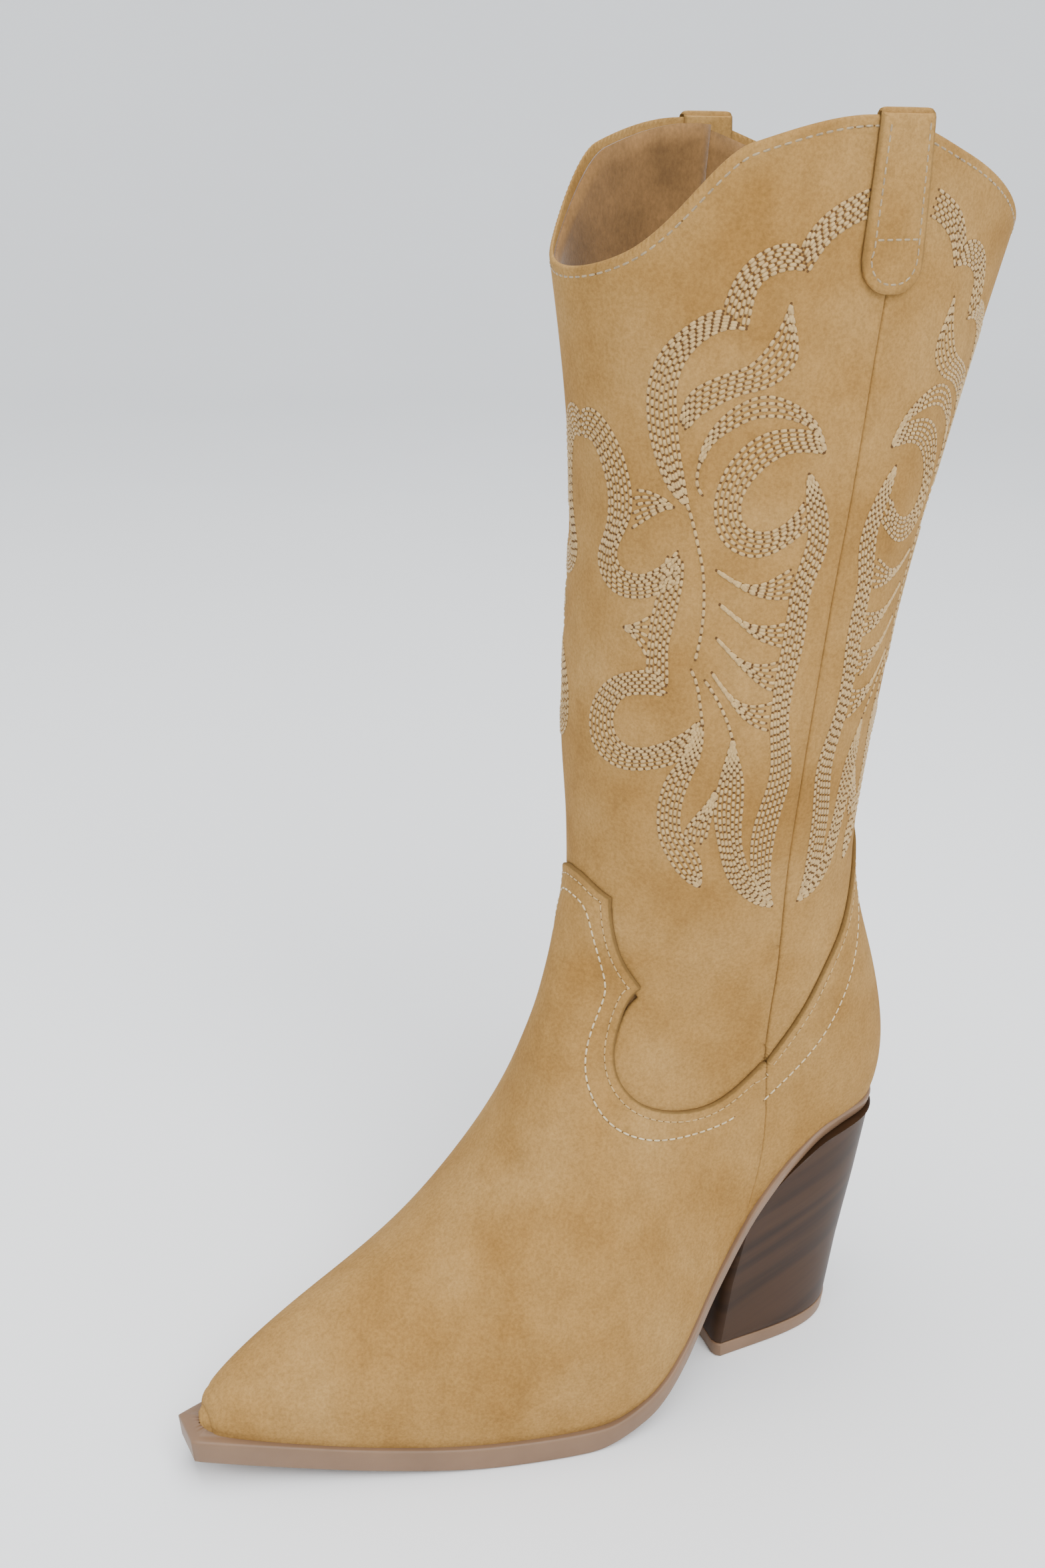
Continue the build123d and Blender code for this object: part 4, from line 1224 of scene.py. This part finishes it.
def strap_stitching():
    sewing = Sewing()
    inset_by = 2.6
    for side in (1, -1):
        back, front = STRAP_BACK + inset_by, STRAP_FRONT - inset_by
        radius = STRAP_CORNER - inset_by
        foot = STRAP_FOOT + inset_by
        arc = lambda cx, a0, a1: [(cx + radius * math.cos(a), foot + radius + radius * math.sin(a))
                                  for a in np.linspace(a0, a1, 8)]
        line = ([(back, h) for h in np.arange(411, foot + radius, -3)]
                + arc(back + radius, math.pi, 1.5 * math.pi)
                + arc(front - radius, 1.5 * math.pi, 2 * math.pi)
                + [(front - STRAP_TAPER * (h - STRAP_FOOT) / 50, h)
                   for h in np.arange(foot + radius + 2, 412, 3)])
        cross = [(x, 380.5) for x in np.arange(back, front + .1, 1.5)]
        for points in (line, cross):
            points = even_line(np.array(points), 1.0)
            place = at_side(points[:, 0], points[:, 1], side)
            sewing.row(place, STRAP_MIDDLE + STRAP_THICK / 2 - .08, 2.7, .34, .26)
    sewing.piece("strap_stitching", [GREY_THREAD, NEEDLE_HOLE_SHADE], "suede")


# --- Soles and heel ---------------------------------------------------------------------
def sole_half_outline():
    """The outer half of the outsole's outline, from the toe's corner to the heel's back."""
    beyond = [(x, -y) for x, y in SOLE_OUTLINE[-2:-5:-1]]
    points = np.array([(TOE_FLAT_X, TOE_FLAT_HALF)] + SOLE_OUTLINE + beyond, float)
    fine = smooth_line(points, 1.0)
    fine = even_line(fine[:np.argmin(fine[:, 0]) + 1], 2.2)
    fine[-1] = SOLE_OUTLINE[-1]
    return fine


def uncross(ring, count):
    """Keeps an inset ring in order past the toe's corner. count is of points up to the corner."""
    corner = ring[count - 1].copy()
    share = np.linspace(0, 1, count)
    ring[:count, 0] = corner[0]
    ring[:count, 1] = share * corner[1]
    first = count
    while ring[first, 0] > corner[0] - .4 or ring[first, 1] < corner[1]:
        first += 1
    for index in range(count, first):
        part = (index - count + 1) / (first - count + 1)
        ring[index] = corner + part * (ring[first] - corner)
    return ring


FLANGE_RINGS = (              # (inset, share of height from bottom to top, extra height)
    (7.0, 1, 0), (2.4, 1, 0), (.9, 1, 0), (.35, 1, -.12), (.08, 1, -.45), (0, 1, -.9),
    (.25, .62, 0), (.35, .5, 0), (.45, .38, 0), (.65, 0, 1.0), (.8, 0, .5), (1.1, 0, .15),
    (1.6, 0, 0), (4.0, 0, 0), (8.0, 0, 0))


def build_outsole():
    half = sole_half_outline()
    toe = np.stack([np.full(6, TOE_FLAT_X), np.linspace(0, TOE_FLAT_HALF, 7)[:-1]], 1)
    side = np.vstack([toe, half])
    outline = np.vstack([side, side[1:-1][::-1] * [1, -1]])
    after, before = np.roll(outline, -1, 0), np.roll(outline, 1, 0)
    forward, back = unit(after - outline), unit(outline - before)
    blend = unit(forward + back)
    out = np.stack([blend[:, 1], -blend[:, 0]], 1)
    area = np.sum(outline[:, 0] * after[:, 1] - after[:, 0] * outline[:, 1])
    if area < 0:
        out = -out
    miter = 1 / np.maximum(np.sum(blend * forward, 1), .5)
    rings = []
    for inset_by, share, extra in FLANGE_RINGS:
        spot = outline - out * (inset_by * miter)[:, None]
        outer = uncross(spot[:len(side)], len(toe) + 1)
        outer[-1, 1] = 0
        spot = np.vstack([outer, outer[1:-1][::-1] * [1, -1]])
        top, bottom = sole_top(outline[:, 0]), sole_bottom(outline[:, 0])
        z = bottom + (top - bottom) * share + extra
        rings.append(np.column_stack([spot, z]))
    points = np.vstack(rings)
    count = len(outline)
    faces = grid_faces(len(rings), count, True)
    faces = [tuple(reversed(f)) for f in faces] if area > 0 else faces
    faces += cap_faces(0, count, area > 0)
    faces += cap_faces((len(rings) - 1) * count, count, area < 0)
    piece = mesh_piece("outsole_rubber", points, faces, [SOLE])
    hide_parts("outsole")


def cap_faces(start, count, flip):
    """Quads across a ring that is symmetric about its first point and its middle point."""
    faces = []
    for i in range(count // 2):
        a, b = start + i, start + i + 1
        c, d = start + (count - i - 1) % count, start + (count - i) % count
        face = (a, b, c, d)
        faces.append(tuple(reversed(face)) if flip else face)
    return [f for f in faces]


def heel_ring(z, back, breast, half):
    """A D-shaped section of the heel, rounded behind, hollow at the breast."""
    side_start = back + (breast - back) * .52
    line = np.array([(breast, half), (side_start, half - .6),
                     (back + (side_start - back) * .3, half * .72), (back, 0)])
    mirrored = line[::-1][1:] * [1, -1]
    around = smooth_line(np.vstack([line, mirrored]), 1.0)
    place = np.linspace(0, 1, 61)
    length = np.concatenate([[0], np.cumsum(np.linalg.norm(np.diff(around, axis=0), axis=1))])
    around = np.stack([np.interp(place * length[-1], length, around[:, k]) for k in range(2)], 1)
    across = np.linspace(-1, 1, 17)[1:-1]
    front = np.stack([breast - BREAST_HOLLOW * (1 - across ** 2), across * half], 1)
    ring = np.vstack([around, front])
    return np.column_stack([ring, np.full(len(ring), z)])


def soft_corners(ring, radius_steps=2):
    """Rounds the two breast corners a little."""
    soft = ring.copy()
    for _ in range(radius_steps):
        mean = (np.roll(soft, 1, 0) + np.roll(soft, -1, 0)) / 2
        sharp = np.zeros(len(soft))
        for index in (0, 60):
            sharp[index] = 1
        soft = soft + (mean - soft) * sharp[:, None] * .5
    return soft


def heel_at(z):
    table = np.array(HEEL_SECTIONS, float)
    back, breast, half = (np.interp(z, table[:, 0], table[:, k]) for k in (1, 2, 3))
    return heel_ring(z, back, breast, half)


def build_heel():
    levels = [5.7, 5.9, 6.3] + list(np.linspace(8, 88, 34))
    rings = []
    for z in levels:
        ring = soft_corners(heel_at(z))
        shrink = .35 if z == 5.7 else .12 if z == 5.9 else 0
        centre = ring.mean(0)
        ring[:, :2] -= unit(ring[:, :2] - centre[:2]) * shrink
        under = sole_bottom(ring[:, 0]) + .4
        ring[:, 2] = np.minimum(ring[:, 2], under)
        rings.append(ring)
    close_ring_piece("heel_stack", rings, HEEL, "heel_block")
    z, back, breast, half = HEEL_SECTIONS[0]
    rings = []
    for level, grow in ((0, -.9), (.15, -.5), (.5, -.25), (1.0, -.15), (3.0, .05), (4.9, .3),
                        (5.35, .25), (5.62, .05), (5.7, -.5)):
        ring = soft_corners(heel_ring(level, back, breast, half))
        centre = ring.mean(0)
        ring[:, :2] += unit(ring[:, :2] - centre[:2]) * grow
        rings.append(ring)
    close_ring_piece("top_lift_rubber", rings, SOLE, "heel_top_lift")


def close_ring_piece(name, rings, material, node):
    count = len(rings[0])
    points = np.vstack(rings + [rings[0].mean(0)[None], rings[-1].mean(0)[None]])
    quads = grid_faces(len(rings), count, True)
    faces = []
    for a, b, c, d in quads:
        faces += [(a, c, b), (a, d, c)]
    low, high = len(rings) * count, len(rings) * count + 1
    last = (len(rings) - 1) * count
    for i in range(count):
        j = (i + 1) % count
        faces += [(low, i, j), (high, last + j, last + i)]
    piece = mesh_piece(name, points, faces, [material])
    fix_normals(piece)
    shade_by_angle(piece, 40)
    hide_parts(node)


def fix_normals(piece):
    """Points every face outwards and merges doubled points."""
    work = bmesh.new()
    work.from_mesh(piece.data)
    bmesh.ops.remove_doubles(work, verts=work.verts, dist=.02 * MM)
    bmesh.ops.recalc_face_normals(work, faces=work.faces)
    work.to_mesh(piece.data)
    work.free()


def shade_by_angle(piece, degrees):
    """Keeps edges sharper than the angle crisp."""
    mesh = piece.data
    mesh.polygons.foreach_set("use_smooth", np.full(len(mesh.polygons), True))
    mesh.set_sharp_from_angle(angle=math.radians(degrees))


# --- Zip --------------------------------------------------------------------------------
def zip_frame():
    """The zip's arc: its middle, outward, upward and crossing directions, and its radius."""
    chord = ZIP_HEAD - ZIP_FOOT
    span = np.linalg.norm(chord)
    radius = (span ** 2 / 4 + ZIP_BOW ** 2) / (2 * ZIP_BOW)
    up = chord / span
    out = np.array([0.0, -1.0, 0.0])
    out = unit(out - up * (out @ up))
    centre = (ZIP_HEAD + ZIP_FOOT) / 2 + out * ZIP_BOW - out * radius
    return centre, out, up, np.cross(out, up), radius, 2 * math.asin(span / 2 / radius)


ZIP_CENTRE, ZIP_OUT, ZIP_UP, ZIP_ACROSS, ZIP_RADIUS, ZIP_TURN = zip_frame()
ZIP_LENGTH = ZIP_RADIUS * ZIP_TURN


def on_zip(length, out, across):
    """Points on the zip: a length up from its foot, out of its surface, and across it."""
    turn = np.asarray(length) / ZIP_RADIUS - ZIP_TURN / 2
    reach = ZIP_RADIUS + np.asarray(out)
    turn, reach, across = np.broadcast_arrays(turn, reach, across)
    return (ZIP_CENTRE + np.cos(turn)[..., None] * reach[..., None] * ZIP_OUT
            + np.sin(turn)[..., None] * reach[..., None] * ZIP_UP + across[..., None] * ZIP_ACROSS)


def tube_along(line, radius, sides=6):
    """Points and faces of a closed round filament along a line."""
    tangent = unit(np.gradient(line, axis=0))
    side = unit(np.cross(tangent, np.broadcast_to(ZIP_OUT, tangent.shape)))
    up = np.cross(side, tangent)
    turns = 2 * np.pi * np.arange(sides) / sides
    rings = (line[:, None] + radius * (np.cos(turns)[None, :, None] * side[:, None]
                                       + np.sin(turns)[None, :, None] * up[:, None]))
    count = len(line)
    faces = grid_faces(count, sides, True)
    triangles = []
    for a, b, c, d in faces:
        triangles += [(a, c, b), (a, d, c)]
    for i in range(1, sides - 1):
        last = (count - 1) * sides
        triangles += [(0, i, i + 1), (last, last + i + 1, last + i)]
    return rings.reshape(-1, 3), triangles


TAPE_SEEN, TAPE_BEND = 8.0, .02    # half width of the tapes, and how they curve round the leg


def build_zip():
    for name, node, side in (("zip_coil_front_filament", "zip_coil_front", 1),
                             ("zip_coil_back_filament", "zip_coil_back", -1)):
        teeth, steps = 150, 10
        turn = np.arange(teeth * steps + 1) / steps
        length = 1.5 + (ZIP_LENGTH - 3) * turn / teeth
        phase = 2 * np.pi * turn
        across = side * (1.62 - 1.42 * np.cos(phase))
        out = -.15 + .68 * np.sin(phase)
        line = on_zip(length, out, across)
        points, faces = tube_along(line, .34)
        piece = mesh_piece(name, points, faces, [COIL])
        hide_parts(node)
    for name, node, side in (("zip_tape_front_cloth", "zip_tape_front", 1),
                             ("zip_tape_back_cloth", "zip_tape_back", -1)):
        length = np.linspace(0, ZIP_LENGTH, 160)[:, None]
        across = side * np.linspace(.45, TAPE_SEEN, 24)[None]
        rib = .05 * np.cos(across * 2 * np.pi / 1.1)
        bend = TAPE_BEND * across ** 2
        outer = on_zip(length, -1.22 + rib - bend, across)
        inner = on_zip(length, -1.8 - bend, across)
        if side < 0:
            outer, inner = outer[:, ::-1], inner[:, ::-1]
        points, faces = shell(outer, inner)
        piece = mesh_piece(name, points, faces, [TAPE])
        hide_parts(node)


# --- CAD nodes that stay ----------------------------------------------------------------
KEPT = {
    "shank": STEEL, "bottom_filler": BOARD, "vamp_lining": LINING, "heel_lining": LINING,
    "toe_puff": STIFF, "counter_stiffener": STIFF,
    "zip_guard_flap": LINING, "zip_top_stops": BRASS, "zip_bottom_stop": BRASS,
    "heel_screw": STEEL, "heel_nails": STEEL, "top_lift_pins": STEEL, "zip_slider": BRASS,
    "zip_pull": BRASS}


def dress_kept_nodes():
    for name, material in KEPT.items():
        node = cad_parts[name]
        node.data.materials.clear()
        node.data.materials.append(material)


# --- Stage, light, camera ---------------------------------------------------------------
def build_stage():
    """A pale round floor that sweeps up into a backdrop all round."""
    n = Nodes("pale_floor")
    tint = n.ramp(n.noise(400, 2), [(.3, srgb(246, 247, 248)), (.7, srgb(248, 249, 250))])
    n.link(tint, n.shader.inputs["Base Color"])
    n.bump(n.noise(3, 2), .02, .1)
    n.set(Roughness=.9, Specular_IOR_Level=.1)
    flat_reach, radius = 2400, 1300
    profile = [(r, 0) for r in (40, 300, 700, 1200, 1800, flat_reach)]
    profile += [(flat_reach + radius * math.sin(a), radius - radius * math.cos(a))
                for a in np.linspace(.1, math.pi / 2, 14)]
    profile += [(flat_reach + radius, 2600)]
    turns = np.linspace(0, 2 * math.pi, 72, endpoint=False)
    points = [(r * math.cos(t), r * math.sin(t), z) for r, z in profile for t in turns]
    faces = grid_faces(len(profile), len(turns), True) + [tuple(reversed(range(len(turns))))]
    mesh = bpy.data.meshes.new("floor")
    mesh.from_pydata([tuple(p) for p in np.array(points) / 1000], [], faces)
    mesh.materials.append(n.material)
    for polygon in mesh.polygons:
        polygon.use_smooth = True
    floor = bpy.data.objects.new("floor", mesh)
    bpy.context.scene.collection.objects.link(floor)


CAMERA_AT = (367.7, 452.3, 404.5)
LOOK_AT = (123.6, -25.8, 207.8)
CAMERA_ROLL = 0.6
LENS = 40.19


def build_camera():
    data = bpy.data.cameras.new("camera")
    data.sensor_width = 36
    data.lens = LENS
    data.clip_start, data.clip_end = .01, 50
    camera = bpy.data.objects.new("camera", data)
    bpy.context.scene.collection.objects.link(camera)
    at, target = Vector(metres(CAMERA_AT)), Vector(metres(LOOK_AT))
    back = (at - target).normalized()
    right = Vector((0, 0, 1)).cross(back).normalized()
    up = back.cross(right)
    roll = math.radians(CAMERA_ROLL)
    turned_right = right * math.cos(roll) + up * math.sin(roll)
    turned_up = up * math.cos(roll) - right * math.sin(roll)
    matrix = Matrix((turned_right, turned_up, back)).transposed().to_4x4()
    matrix.translation = at
    camera.matrix_world = matrix
    bpy.context.scene.camera = camera


def area_light(name, at, target, size, power):
    data = bpy.data.lights.new(name, "AREA")
    data.shape = "SQUARE"
    data.size = size
    data.energy = power
    light = bpy.data.objects.new(name, data)
    bpy.context.scene.collection.objects.link(light)
    at, target = Vector(at), Vector(target)
    light.location = at
    light.rotation_euler = (at - target).to_track_quat("Z", "Y").to_euler()


def build_light():
    world = bpy.data.worlds.new("studio")
    bpy.context.scene.world = world
    world.use_nodes = True
    background = world.node_tree.nodes["Background"]
    background.inputs["Color"].default_value = (.93, .96, 1, 1)
    background.inputs["Strength"].default_value = 1.0
    middle = (0, 0, .2)
    area_light("key", (.1, 1.5, 1.7), middle, 1.2, 40)
    area_light("left_fill", (1.7, -.4, .9), middle, 1.2, 6)
    area_light("top", (0, .1, 2.2), middle, 1.6, 32)


# --- Build ------------------------------------------------------------------------------
def build():
    build_panels()
    embroider(shaft_front_outline(), "front_embroidery", False)
    embroider(shaft_back_outline(), "back_embroidery", True)
    topstitching()
    build_lining()
    build_footbed()
    build_strap("strap_lateral_suede", "pull_strap_lateral", 1)
    build_strap("strap_medial_suede", "pull_strap_medial", -1)
    strap_stitching()
    build_outsole()
    build_heel()
    build_zip()
    dress_kept_nodes()
    build_stage()
    build_light()
    build_camera()


build()
